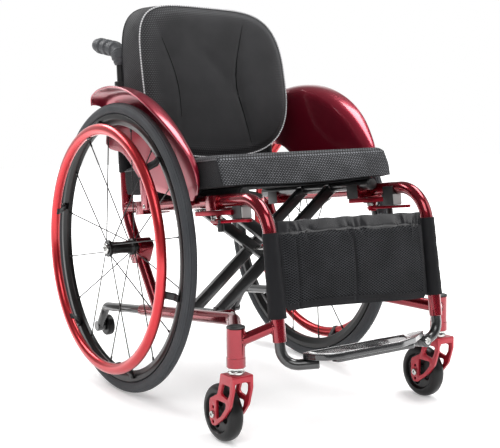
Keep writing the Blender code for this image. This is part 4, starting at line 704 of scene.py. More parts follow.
def backFinish(name, ground, second, dash, across, along, clear, edge, pitch=0.0046):
    # stretch cloth in the middle of the pad, changing to spacer cloth near its rim: the change follows the
    # pad's own oval, (a/across)^4 + (b/along)^4, from clear to edge
    material, w, shader = newFinish(name, Sheen_Weight=0.06, Sheen_Roughness=0.5, Specular_IOR_Level=0.2)
    place, body = w.coordinates("UV"), w.coordinates("Object")
    a, b, _ = w.split(place)
    reach = w.plus(w.math("POWER", w.math("ABSOLUTE", w.over(a, across)), 4.0),
                   w.math("POWER", w.math("ABSOLUTE", w.over(b, along)), 4.0))
    drift = w.times(w.minus(w.noise(body, 16.0), 0.5), 0.4)
    mask = w.ramp(w.plus(reach, drift), clear, edge)
    dots = w.group(groups["spacer"], Place=place, Pitch=pitch, Rise=0.8)
    weave = w.group(groups["weave"], Place=place, Pitch=0.0009)
    made = w.group(groups["grain"], Place=body, Colour=ground, Second=second, Drift=0.7, Scale=9.0,
                   Rough=0.66, Spread=0.15, Grain=600.0, Bump=0.1)
    shown = w.times(w.times(dots["Mask"], mask), 0.75)
    height = w.plus(w.times(dots["Height"], mask), w.times(weave["Height"], 0.25))
    feed(w, shader, w.mix(shown, made["Colour"], dash), made["Roughness"],
         w.bump(height, 0.5, 0.0006, made["Normal"]))
    return material


def netFinish(name, ground, thread, pitch=0.0082):
    # knitted net over a dark lining
    material, w, shader = newFinish(name, Sheen_Weight=0.02, Sheen_Roughness=0.5, Specular_IOR_Level=0.12)
    net = w.group(groups["net"], Place=w.coordinates("UV"), Pitch=pitch)
    body = w.coordinates("Object")
    made = w.group(groups["grain"], Place=body, Colour=thread, Second=ground, Drift=0.4, Scale=22.0,
                   Rough=0.6, Spread=0.2, Grain=700.0, Bump=0.15)
    feed(w, shader, w.mix(net["Mask"], ground, made["Colour"]), made["Roughness"],
         w.bump(net["Height"], 0.8, 0.0009, made["Normal"]))
    return material


def tickedFinish(name, pale, dark, pitch=0.014, share=0.18):
    # silver piping with a short dark tick once in each pitch along it
    material, w, shader = newFinish(name, Sheen_Weight=0.1)
    along = w.split(w.coordinates("UV"))[0]
    cell = w.math("FRACT", w.over(along, pitch))
    tick = w.ramp(w.math("ABSOLUTE", w.minus(cell, 0.5)), share * 0.4, share * 0.6, 1.0, 0.0)
    made = w.group(groups["grain"], Place=w.coordinates("Object"), Colour=pale, Second=dark, Drift=0.15,
                   Scale=60.0, Rough=0.42, Spread=0.2, Grain=900.0, Bump=0.1)
    feed(w, shader, w.mix(w.times(tick, 0.8), made["Colour"], dark), made["Roughness"], made["Normal"])
    return material


black, nearBlack = (0.006, 0.006, 0.0065, 1), (0.014, 0.014, 0.015, 1)
paint = {
    "frameRed": hardFinish("Candy red paint", (0.25, 0.0016, 0.012, 1), (0.19, 0.0012, 0.010, 1), 0.85,
                           0.22, coat=1.0, coatRough=0.03, bump=0.005, scuffs=0.03,
                           scuffColour=(0.45, 0.08, 0.09, 1)),
    "guardRed": hardFinish("Red clothes guard", (0.34, 0.0060, 0.030, 1), (0.25, 0.0045, 0.024, 1), 0.70,
                           0.31, coat=1.0, coatRough=0.16, bump=0.005, scuffs=0.04,
                           scuffColour=(0.40, 0.06, 0.08, 1)),
    "rimRed": hardFinish("Anodised red handrim", (0.56, 0.028, 0.036, 1), (0.46, 0.020, 0.030, 1), 0.88,
                         0.31, coat=0.5, coatRough=0.12, bump=0.002, scuffs=0.03,
                         scuffColour=(0.85, 0.35, 0.30, 1)),
    "leverRed": hardFinish("Anodised red lever", (0.30, 0.004, 0.016, 1), (0.24, 0.003, 0.013, 1), 0.85,
                           0.30),
    "forkRed": hardFinish("Red fork casting", (0.42, 0.012, 0.028, 1), (0.35, 0.009, 0.022, 1), 0.45,
                          0.40, coat=0.5, coatRough=0.18, scuffs=0.15, scuffColour=(0.75, 0.30, 0.30, 1)),
    "blackTube": hardFinish("Black enamel", black, nearBlack, 0.0, 0.30, coat=0.9, coatRough=0.04,
                            scuffs=0.2, scuffColour=(0.08, 0.08, 0.08, 1)),
    "wheelBlack": hardFinish("Black anodised metal", (0.003, 0.003, 0.0033, 1),
                             (0.008, 0.008, 0.0085, 1), 0.2, 0.34, specular=0.35, coat=0.15,
                             coatRough=0.15, scuffs=0.2, scuffColour=(0.08, 0.08, 0.08, 1)),
    "plastic": hardFinish("Black plastic", black, nearBlack, 0.0, 0.42, bump=0.12, grain=1400.0,
                          spread=0.2),
    "plateBlack": hardFinish("Black composite plate", (0.006, 0.0065, 0.008, 1), nearBlack, 0.0, 0.26,
                             coat=0.8, coatRough=0.08, bump=0.01, grain=900.0, spread=0.05),
    "rubber": hardFinish("Black rubber", (0.004, 0.004, 0.0042, 1), (0.008, 0.008, 0.0085, 1), 0.0, 0.36,
                         bump=0.08, grain=1600.0, spread=0.15, specular=0.3),
    "gripRubber": hardFinish("Grey grip rubber", (0.040, 0.042, 0.047, 1), (0.060, 0.063, 0.068, 1), 0.0,
                             0.55, bump=0.3, grain=1500.0, spread=0.2),
    "tyreRubber": hardFinish("Grey tyre rubber", (0.034, 0.037, 0.042, 1), (0.052, 0.055, 0.060, 1), 0.0,
                             0.60, bump=0.25, grain=1500.0, spread=0.2, scale=18.0, specular=0.35),
    "steel": hardFinish("Bright steel", (0.62, 0.62, 0.60, 1), (0.50, 0.50, 0.49, 1), 1.0, 0.22,
                        scale=40.0, scuffs=0.3, scuffColour=(0.8, 0.8, 0.8, 1)),
    "greyBlock": hardFinish("Light grey plastic", (0.36, 0.36, 0.355, 1), (0.29, 0.29, 0.285, 1), 0.0,
                            0.4, bump=0.1),
    "blackCloth": clothFinish("Black cloth", (0.008, 0.008, 0.009, 1), (0.020, 0.020, 0.023, 1), 0.78,
                              0.06, specular=0.2),
    "satinCloth": clothFinish("Black satin cloth", (0.006, 0.006, 0.0070, 1), (0.013, 0.013, 0.015, 1),
                              0.27, 0.0, pitch=0.0005, bump=0.10, specular=0.60),
    "sleeveCloth": clothFinish("Black coated cloth", (0.006, 0.006, 0.0070, 1), (0.012, 0.012, 0.014, 1),
                               0.55, 0.0, pitch=0.0006, bump=0.2, specular=0.14),
    "seatMesh": spacerFinish("Cushion spacer cloth", (0.009, 0.009, 0.0105, 1), (0.20, 0.205, 0.22, 1),
                             0.0062, 0.62, 0.76),
    "backFace": backFinish("Back pad cloth", (0.014, 0.014, 0.015, 1), (0.026, 0.026, 0.028, 1),
                           (0.085, 0.085, 0.09, 1), 0.176, 0.158, 0.34, 0.85),
    "backSide": backFinish("Back pad side cloth", (0.014, 0.014, 0.015, 1), (0.028, 0.028, 0.030, 1),
                           (0.075, 0.075, 0.08, 1), 10.0, 0.6, 0.0, 0.05),
    # seam thread drawn near black and almost without gloss, far darker than the pad, so that it is also
    # painted shade in each seam's valley
    "seamCloth": clothFinish("Seam thread and painted shade", (0.0015, 0.0015, 0.0016, 1), (0.003, 0.003, 0.003, 1), 0.9,
                             0.0, bump=0.1, specular=0.05),
    "webbing": clothFinish("Black webbing", (0.010, 0.010, 0.011, 1), (0.026, 0.026, 0.028, 1), 0.7, 0.1,
                           pitch=0.0016, bump=0.8, specular=0.3),
    "seatPiping": clothFinish("Dark grey piping", (0.060, 0.060, 0.064, 1), (0.11, 0.11, 0.115, 1), 0.6,
                              0.1),
    "net": netFinish("Black net", (0.0015, 0.0015, 0.002, 1), (0.050, 0.052, 0.058, 1)),
    "piping": tickedFinish("Silver piping", (0.55, 0.55, 0.56, 1), (0.10, 0.10, 0.105, 1), 0.0055, 0.36),
}
print("finishes made:", len(paint))


# Camera, lights and floor

stage = {
    "azimuth": -34.01, "elevation": 5.74, "roll": -0.48,   # degrees
    "place": (-1.1942, -1.9199, 0.6146),
    "focus": 1052.0, "frame": (500.0, 448.0), "centre": (255.82, 194.9),   # picture units
    "worldLevel": 0.70, "roomLevel": 0.16, "floorGlow": 0.24,
}


def makeCamera():
    az, el, roll = (math.radians(stage[k]) for k in ("azimuth", "elevation", "roll"))
    back = Vector((math.sin(az) * math.cos(el), -math.cos(az) * math.cos(el), math.sin(el)))
    right = Vector((math.cos(az), math.sin(az), 0))
    up = back.cross(right)
    across = right * math.cos(roll) + up * math.sin(roll)
    above = up * math.cos(roll) - right * math.sin(roll)
    camera = loose("camera", bpy.data.cameras.new("camera"))
    turn = Matrix((across, above, back)).transposed().to_4x4()
    camera.matrix_world = Matrix.Translation(stage["place"]) @ turn
    width, height = stage["frame"]
    camera.data.sensor_width = 36
    camera.data.lens = 36 * stage["focus"] / width
    camera.data.shift_x = -(stage["centre"][0] - width / 2) / width
    camera.data.shift_y = (stage["centre"][1] - height / 2) / width
    camera.data.clip_end = 20
    bpy.context.scene.camera = camera


def makeLamp(name, place, target, size, power):
    lamp = loose(name, bpy.data.lights.new(name, "AREA"))
    lamp.data.shape = "RECTANGLE"
    lamp.data.size, lamp.data.size_y = size
    lamp.data.energy = power
    lamp.location = place
    lamp.rotation_euler = (Vector(target) - Vector(place)).to_track_quat("-Z", "Y").to_euler()


def seenDirectly(w):
    # 1 for camera, mirror and see-through rays, which show the white backdrop
    path = w.tree.nodes.new("ShaderNodeLightPath").outputs
    seen = w.math("MAXIMUM", path["Is Camera Ray"], path["Is Glossy Ray"])
    return w.math("MAXIMUM", seen, path["Is Transmission Ray"])


def makeWorld():
    world = bpy.data.worlds.new("studio")
    world.use_nodes = True
    bpy.context.scene.world = world
    w = Wiring(world.node_tree)
    sky = world.node_tree.nodes["Background"]
    sky.inputs["Color"].default_value = (1, 1, 1, 1)
    # gloss shows the white backdrop where it stands, ahead of the camera, and a dimmer room elsewhere
    x, y, z = w.split(w.coordinates("Generated"))
    aim = math.radians(stage["azimuth"])
    facing = w.plus(w.times(x, -math.sin(aim)), w.times(y, math.cos(aim)))
    backdrop = w.times(w.ramp(facing, 0.15, 0.80), w.ramp(z, 0.25, 0.60, 1.0, 0.0))
    room = w.ramp(backdrop, 0.0, 1.0, stage["roomLevel"], 1.0, smooth=False)
    path = world.node_tree.nodes.new("ShaderNodeLightPath").outputs
    gloss = w.minus(1.0, w.math("MAXIMUM", path["Is Camera Ray"], path["Is Transmission Ray"]))
    shown = w.plus(w.times(gloss, room), w.minus(1.0, gloss))
    seen = seenDirectly(w)
    level = w.plus(w.times(seen, shown),
                   w.times(w.minus(1.0, seen), stage["worldLevel"]))
    w.put(sky.inputs["Strength"], level)


def makeFloor():
    reach = 6.0
    side = np.linspace(-reach, reach, 3)
    grid = np.stack(np.meshgrid(side, side, indexing="ij") + [np.full((3, 3), -0.0006)], axis=-1)
    mesh = gridMesh("floor", grid, wrapColumns=False)
    material, w, shader = newFinish("Pale floor", Roughness=0.9, Specular_IOR_Level=0.1)
    speck = w.noise(w.coordinates("Object"), 40.0)
    w.put(shader.inputs["Base Color"], w.mix(speck, (0.86, 0.86, 0.86, 1), (0.90, 0.90, 0.90, 1)))
    shader.inputs["Emission Color"].default_value = (1, 1, 1, 1)
    # the floor fades into the backdrop away from the chair
    x, y, _ = w.split(w.coordinates("Object"))
    away = w.math("SQRT", w.plus(w.math("POWER", x, 2.0), w.math("POWER", y, 2.0)))
    glow = w.ramp(away, 0.55, 1.9, stage["floorGlow"], 1.0)
    w.put(shader.inputs["Emission Strength"], w.times(seenDirectly(w), glow))
    mesh.materials.append(material)
    floor = loose("floor", mesh)


makeCamera()
makeWorld()
makeFloor()
makeLamp("key", (-1.6, -2.4, 2.6), (0, 0, 0.35), (2.2, 1.6), 42)
makeLamp("fill", (2.4, -1.8, 1.8), (0, 0, 0.4), (2.0, 2.0), 20)
makeLamp("top", (1.0, -0.4, 2.8), (-0.1, 0, 0.5), (2.0, 1.1), 56)
makeLamp("rim", (-1.0, 1.7, 2.0), (0, 0, 0.45), (1.8, 0.7), 34)
bpy.context.scene.view_settings.view_transform = "Standard"
print("camera, lights and floor ready")


# Side frames

sideFrame = {
    "frontBend": 0.068, "rearBend": 0.100, "jogBend": 0.045,
    "rearSlope": math.radians(35.6), "axleToTube": 0.0234,
    "jogY": -0.345, "railRear": 0.008,
    "strutRadius": 0.0100, "strutTop": -0.030,
    "barrelRadius": 0.0162, "barrelBottom": 0.1412, "barrelTop": 0.2095,
    "cupHeight": 0.017,
    "earPlaces": (0.142, 0.306), "earThickness": 0.0045, "earRadius": 0.011, "pinRadius": 0.004,
}
x0, tubeRadius = chair["halfWidth"], chair["tubeRadius"]
railHeight, lowerHeight = chair["railHeight"], chair["lowerRailHeight"]


def frontPath(x):
    # up the front tube, round the bend, and back along the top rail to the post
    foot = frontPoint(x, 0, 0)
    rise = frontPoint(x, 0, -1) - foot
    corner = foot + rise * (railHeight - foot @ railUp) / (rise @ railUp)
    joint = railPoint(x, railAlong(chair["postFoot"][0], railHeight), railHeight)
    return roundedPath([foot, corner, joint], [sideFrame["frontBend"]], 24)


def rearTubePoint(z):
    c, s = math.cos(sideFrame["rearSlope"]), math.sin(sideFrame["rearSlope"])
    start = np.array([x0, sideFrame["axleToTube"] * c, hubHeight - sideFrame["axleToTube"] * s])
    return start + np.array([0, s, c]) * (z - start[2]) / c


def rearPath():
    foot, slope = rearTubePoint(0), math.tan(sideFrame["rearSlope"])
    y, z = chair["postFoot"]
    lean, pitch = math.tan(chair["postLean"]), chair["railPitch"]
    bendZ = (y - z * lean - foot[1]) / (slope - lean)
    jointZ = (lowerHeight - foot[1] * math.sin(pitch)) / (math.cos(pitch) + slope * math.sin(pitch))
    return roundedPath([postPoint(x0, 0, chair["postLength"]), rearTubePoint(bendZ), rearTubePoint(jointZ)],
                       [sideFrame["rearBend"]], 20)


def lowerPath():
    end = railPoint(x0, railAlong(sideFrame["railRear"], lowerHeight), lowerHeight)
    jog = railPoint(x0, railAlong(sideFrame["jogY"], lowerHeight), lowerHeight)
    x, y = chair["stem"]
    middle = np.array([x, y, (sideFrame["barrelBottom"] + sideFrame["barrelTop"]) / 2 + 0.012])
    return roundedPath([end, jog, middle], [sideFrame["jogBend"]], 14)


def makeSideFrame():
    f = sideFrame
    front, rear, lower = frontPath(x0), rearPath(), lowerPath()
    strutTop = frontPoint(x0, 0, f["strutTop"])
    strut = np.array([lower[-1] - (0, 0, 0.004), strutTop])
    x, y = chair["stem"]
    low, high, r = f["barrelBottom"], f["barrelTop"], f["barrelRadius"]
    barrel = [(low, 0.006), (low, r - 0.001), (low + 0.001, r),
              (high - 0.001, r), (high, r - 0.001), (high, 0.006)]
    parts = [tube("front", front, tubeRadius), tube("rear", rear, tubeRadius),
             tube("lower", lower, tubeRadius), tube("strut", strut, f["strutRadius"]),
             turned("barrel", barrel, (x, y, 0), upright)]
    for along in f["earPlaces"]:
        outline = stadium(chair["pivotHalf"], x0, lowerHeight, f["earRadius"])
        parts.append(plate("ear", outline, lambda a, b, c: railPoint(a, c, b), along - f["earThickness"] / 2,
                           along + f["earThickness"] / 2))
    parts += [weldBead(strut[0], strut[1] - strut[0], f["strutRadius"], strut[1], frontDown, tubeRadius),
              weldBead(strut[1], strut[0] - strut[1], f["strutRadius"], (x, y, 0), upright, r),
              weldBead(lower[-2], lower[-1] - lower[-2], tubeRadius, (x, y, 0), upright, r),
              weldBead(rear[-2], rear[-1] - rear[-2], tubeRadius, rear[-1], railAhead, tubeRadius + 0.0004),
              weldBead(front[-2], front[-1] - front[-2], tubeRadius, rear[0], rear[0] - rear[1],
                       tubeRadius + 0.0004)]
    addPair("side_frame", together("side_frame", parts), "frameRed", "frame", ["side_frame"])
    cup = [(low - 0.0002, 0.012), (low - 0.0002, r - 0.0004), (low + 0.0008, r + 0.0006),
           (low + f["cupHeight"], r + 0.0006), (low + f["cupHeight"] + 0.0006, r - 0.0002)]
    addPair("barrel_cup", turned("cup", cup, (x, y, 0), upright), "frameRed", "frame", (), "cast_red")


# Black tubes: hangers, push handles, anti-tip tubes

blackTubes = {
    "hangerRadius": 0.0095, "hangerInsert": 0.060, "hangerDrop": 0.0405, "hangerBend": 0.030,
    "hangerEnd": (0.130, 0.0395), "hingeX": 0.134, "knuckleRadius": 0.012, "hingeHalf": 0.0095,
    "handleRadius": 0.0088, "handleInsert": 0.130, "handleElbow": 0.077, "handleReach": 0.104,
    "handleRise": math.radians(8), "handleBend": 0.030,
    "gripRadius": 0.0158, "gripStart": 0.046, "gripRibs": 4,
    "tipRadius": 0.0095, "tipInsert": 0.042, "tipReach": 0.180, "tipEnd": (0.214, 0.086), "tipBend": 0.022,
    "tipWheelRadius": 0.0230, "tipWheelWidth": 0.016,
}


def makeHangers():
    t = blackTubes
    radius, drop = t["hangerRadius"], t["hangerDrop"]
    top, low = frontPoint(x0, 0, -t["hangerInsert"]), frontPoint(x0, 0, drop)
    plain = roundedPath([top, low, frontPoint(t["hangerEnd"][0], t["hangerEnd"][1], drop)], [t["hangerBend"]])
    hinged = roundedPath([top, low, frontPoint(t["hingeX"], 0, drop)], [t["hangerBend"]])
    right = tube("hanger", plain, radius, 0.002, 32, frontAhead)
    addPiece("right_hanger_tube", mirroredMesh(right, "right_hanger_tube"), "blackTube", "right_frame",
             ["right_hanger_tube"])
    half, r = t["hingeHalf"], t["knuckleRadius"]
    boss = turned("boss", [(-half, 0.0043), (-half, r - 0.001), (0.001 - half, r), (half - 0.0002, r),
                           (half, r - 0.0006), (half, 0.0043)], frontPoint(t["hingeX"], 0, drop), frontAhead)
    left = together("hanger", [tube("hanger", hinged, radius, 0.002, 32, frontAhead), boss])
    addPiece("left_hanger_tube", left, "blackTube", "left_frame", ["left_hanger_tube"])


def handlePath():
    t = blackTubes
    elbow = postPoint(x0, 0, chair["postLength"] + t["handleElbow"])
    end = elbow + np.array([0, 1, math.tan(t["handleRise"])]) * t["handleReach"]
    start = postPoint(x0, 0, chair["postLength"] - t["handleInsert"])
    return roundedPath([start, elbow, end], [t["handleBend"]], 18)


def makeHandles():
    t = blackTubes
    path = handlePath()
    addPair("push_handle", tube("push_handle", path, t["handleRadius"], 0.001, 32), "blackTube", "handle",
            ["push_handle"])
    # the grip's radius along its length: broad ribs with round backs, a step between them, and a domed end
    total = lengthsAlong(path)[-1]
    path = np.vstack([path[:-1], path[-1] + unit(path[-1] - path[-2]) * 0.012])
    start, end = t["handleInsert"] + t["gripStart"], total + 0.008
    s = np.linspace(start, end, 150)
    pitch = (end - start - 0.020) / t["gripRibs"]
    phase = np.clip((s - start - 0.010) / pitch, 0, t["gripRibs"] - 1e-6) % 1
    rib = smoothStep(phase, 0.0, 0.12) * (1 - smoothStep(phase, 0.55, 0.72))
    fine = 0.00025 * np.cos(phase * 2 * math.pi * 7) * rib
    radius = t["gripRadius"] - 0.0016 + 0.0028 * rib + fine
    radius -= 0.0022 * (1 - smoothStep(s, start, start + 0.006))
    left = np.clip((s - (end - 0.009)) / 0.009, 0, 1)
    radius *= np.sqrt(np.maximum(1 - left ** 2 * 0.86, 0.02))
    grip = sweep("grip", pointsAt(path, s), circle(1.0, 40), scale=radius)
    addPair("handle_grip", grip, "gripRubber", "handle", ["handle_grip"])
    top, outer = chair["postLength"] + 0.012, tubeRadius + 0.0022
    low = top - 0.022
    collar = [(low, tubeRadius + gap), (low, outer - 0.0006), (low + 0.0006, outer), (low + 0.009, outer),
              (low + 0.0095, outer - 0.0006), (low + 0.0105, outer - 0.0006), (low + 0.011, outer),
              (top - 0.0016, outer), (top, outer - 0.0016), (top, t["handleRadius"] + gap)]
    addPair("handle_collar", turned("collar", collar, postPoint(x0, 0, 0), postUp), "plastic", "frame",
            ["handle_collar"])


def makeAntiTips():
    t = blackTubes
    y, z = t["tipEnd"]
    end = np.array([x0, y, z])
    radius, width = t["tipRadius"], t["tipWheelWidth"]
    rear = railPoint(x0, railAlong(sideFrame["railRear"] - t["tipInsert"], lowerHeight), lowerHeight)
    bend = railPoint(x0, railAlong(t["tipReach"], lowerHeight), lowerHeight)
    path = roundedPath([rear, bend, end], [t["tipBend"]])
    foot = turned("foot", [(-radius - 0.0005, 0.002), (-radius - 0.0005, 0.0105), (-radius + 0.0005, 0.0115),
                           (radius - 0.0012, 0.0115), (radius, 0.0103), (radius, 0.002)], end, outboard)
    addPair("anti_tip_tube", together("tip", [tube("tip", path, radius, 0.001, 32), foot]), "blackTube",
            "anti_tip", ["anti_tip_tube"])
    head = radius + width
    bolt = turned("bolt", [(-head - 0.0065, 0.003), (-head - 0.0065, 0.0060), (-head - 0.0055, 0.0070),
                           (-head - 0.0031, 0.0070), (-head - 0.0031, 0.004), (0, 0.004)], end, outboard, 32)
    addPair("anti_tip_bolt", bolt, "steel", "anti_tip")
    start, r = -radius - 0.0011, t["tipWheelRadius"]
    rim = roundedOutline([(start, 0.0045), (start, r), (start - width, r), (start - width, 0.0045)],
                         [0.0004, 0.004, 0.004, 0.0004], 6)
    hub = [(start + 0.0003, 0.0043), (start + 0.0003, 0.0085), (start - 0.0004, 0.009),
           (start - width + 0.0004, 0.009), (start - width - 0.0003, 0.0085),
           (start - width - 0.0003, 0.0043)]
    wheel = together("wheel", [turned("rim", rim, end, outboard, 64, closed=True),
                               turned("hub", hub, end, outboard, 40, closed=True)])
    addPair("anti_tip_wheel", wheel, "rubber", "anti_tip_wheel", ["anti_tip_wheel"])


# Rear wheels, drawn in the wheel's own frame: +X is the axle's outboard end

wheelSizes = {
    "rimOuter": 0.2719, "rimDepth": 0.022, "rimHalf": 0.0100,
    "spokes": 16, "spokeRadius": 0.0012, "nippleRadius": 0.0021, "nippleLength": 0.013,
    "hubRadius": 0.0130, "flangeRadius": 0.0172, "hubStart": -0.0303, "hubEnd": 0.0300,
    "tyreSection": 0.0125, "treadGrooves": 5, "grooveDepth": 0.0005,
    "handrimRadius": 0.2535, "handrimDepth": 0.0229, "handrimThickness": 0.0186, "handrimOffset": 0.0381,
    "tabs": 6, "firstTab": math.radians(14), "tabHalf": 0.0065,
    "headRadius": 0.0108, "headLength": 0.0045, "buttonRadius": 0.0044,
}


def onWheelPair(name, mesh, finish, body, nodes=()):
    mesh.transform(wheelPlace)
    addPair(name, mesh, finish, body, nodes)


def makeWheels():
    w = wheelSizes
    centre, axis = (0, 0, 0), outboard
    outer, inner, half = w["rimOuter"], w["rimOuter"] - w["rimDepth"], w["rimHalf"]
    section = roundedOutline([(-half, outer), (half, outer), (half, outer - 0.010), (0.0045, inner),
                              (-0.0045, inner), (-half, outer - 0.010)],
                             [0.0012, 0.0012, 0.006, 0.003, 0.003, 0.006], 5)
    parts = [turned("rim", section, centre, axis, 144, closed=True)]
    start, end, hub, flange = w["hubStart"], w["hubEnd"], w["hubRadius"], w["flangeRadius"]
    profile = [(start, 0.0064), (start, flange - 0.001), (start + 0.001, flange), (start + 0.006, flange),
               (start + 0.0085, hub + 0.0012), (start + 0.012, hub), (0, hub - 0.0012), (end - 0.012, hub),
               (end - 0.0085, hub + 0.0012), (end - 0.006, flange), (end - 0.001, flange),
               (end, flange - 0.001), (end, 0.0064)]
    parts.append(turned("hub", profile, centre, axis, 64))
    for i in range(w["spokes"]):
        angle = 2 * math.pi * (i + 0.5) / w["spokes"]
        ray = np.array([0, math.cos(angle), math.sin(angle)])
        aside = np.array([0, -math.sin(angle), math.cos(angle)]) * (0.006 if i % 4 < 2 else -0.006)
        root = ray * (flange - 0.003) + aside + (end - 0.0035 if i % 2 else start + 0.0035, 0, 0)
        tip = ray * (inner + 0.004)
        parts.append(tube("spoke", [root, tip], w["spokeRadius"], 0.0003, 8, (0, -ray[2], ray[1])))
        into = unit(root - tip)
        parts.append(tube("nipple", [tip, tip + into * w["nippleLength"]], w["nippleRadius"], 0.0007, 10,
                          (0, -ray[2], ray[1])))
    onWheelPair("wheel", together("wheel", parts), "wheelBlack", "wheel", ["wheel"])

    # the tyre's section is a circle cut off at the rim, with shallow grooves round its tread
    radius = w["tyreSection"]
    middle = chair["tyreRadius"] - radius
    limit = math.acos((outer + gap - middle) / radius)
    turn = np.linspace(-limit, limit, 73)
    tread = 1 - smoothStep(np.abs(turn), 0.85, 1.0)
    wave = np.cos(turn * 2 * math.pi * w["treadGrooves"] / 1.9)
    depth = w["grooveDepth"] * tread * smoothStep(wave, 0.35, 0.8)
    wall = 0.0004 * smoothStep(np.cos((np.abs(turn) - 1.75) * 9), 0.75, 0.95)
    reach = radius - depth - wall
    profile = np.stack([reach * np.sin(turn), middle + reach * np.cos(turn)], -1)
    onWheelPair("tyre", turned("tyre", profile, centre, axis, 160, closed=True), "tyreRubber", "wheel",
                ["tyre"])

    ring, offset = w["handrimRadius"] - w["handrimDepth"] / 2, w["handrimOffset"]
    oval = circle(1.0, 36) * (w["handrimThickness"] / 2, w["handrimDepth"] / 2) + (offset, ring)
    onWheelPair("handrim", turned("handrim", oval, centre, axis, 168, closed=True), "rimRed", "wheel",
                ["handrim"])

    foot = half + gap
    low = inner + 0.0001
    outline = roundedOutline([(foot, outer - 0.0059), (foot, low + 0.002), (foot + 0.003, low),
                              (offset - 0.002, ring - 0.0135), (offset + 0.003, ring - 0.0128),
                              (offset + 0.003, ring - 0.0085), (foot + 0.006, low + 0.007),
                              (foot + 0.004, outer - 0.0059)],
                             [0.001, 0.001, 0.001, 0.0012, 0.0012, 0.0012, 0.003, 0.001], 3)
    tabs = []
    for k in range(w["tabs"]):
        angle = 2 * math.pi * k / w["tabs"] + w["firstTab"]
        ray = np.array([0, math.cos(angle), math.sin(angle)])
        side = np.array([0, -math.sin(angle), math.cos(angle)])
        onTab = lambda a, b, c: a[..., None] * np.array(outboard) + b[..., None] * ray + c[..., None] * side
        tabs.append(plate("tab", outline, onTab, -w["tabHalf"], w["tabHalf"], 0.0012))
        tabs.append(turned("screw", [(0, 0.0024), (0.0006, 0.0024), (0.0010, 0.0018), (0.0010, 0.0006)],
                           ray * (low + 0.012) + (foot + 0.0045, 0, 0), outboard, 12))
    onWheelPair("handrim_tabs", together("tabs", tabs), "plastic", "wheel")

    head = end + gap
    top = head + w["headLength"]
    r, bore = w["headRadius"], w["buttonRadius"] + gap
    pin = [(-0.0757, 0.003), (-0.0757, 0.0045), (-0.0737, 0.006), (head, 0.006), (head, r - 0.0005),
           (head + 0.0005, r), (top - 0.0016, r), (top - 0.0004, r - 0.0012), (top, r - 0.003), (top, bore),
           (top - 0.008, bore), (top - 0.008, 0.001)]
    onWheelPair("axle_pin", turned("pin", pin, centre, axis, 48), "steel", "frame", ["axle_pin"])
    face, b = top + 0.0043, w["buttonRadius"]
    button = [(top - 0.008, 0.001), (top - 0.008, b), (face - 0.0008, b), (face - 0.0002, b - 0.0006),
              (face, b - 0.0016), (face, 0.0005)]
    onWheelPair("axle_button", turned("button", button, centre, axis, 32), "steel", "axle_button",
                ["axle_button"])
    sleeve = [(-0.0717, 0.0064), (-0.0717, 0.0108), (-0.0713, 0.0114), (-0.0312, 0.0114), (-0.0306, 0.0108),
              (-0.0306, 0.0064)]
    onWheelPair("axle_sleeve", turned("sleeve", sleeve, centre, axis, 40, closed=True), "wheelBlack",
                "frame")


# Casters

casterSizes = {
    "trail": 0.0430, "radius": 0.051, "width": 0.029, "hubRadius": 0.0105, "webHalf": 0.0095,
    "treadPower": 2.5, "crownDepth": 0.0150,
    "openings": 4, "openingRadius": 0.0078, "openingReach": 0.0215,
    "crownTop": 0.1293, "crown": 0.0115, "legInside": 0.0160, "legOutside": 0.0210,
    "boltRadius": 0.0040, "boltHead": 0.0062, "holeStep": 0.0130, "holeRadius": 0.0032,
}


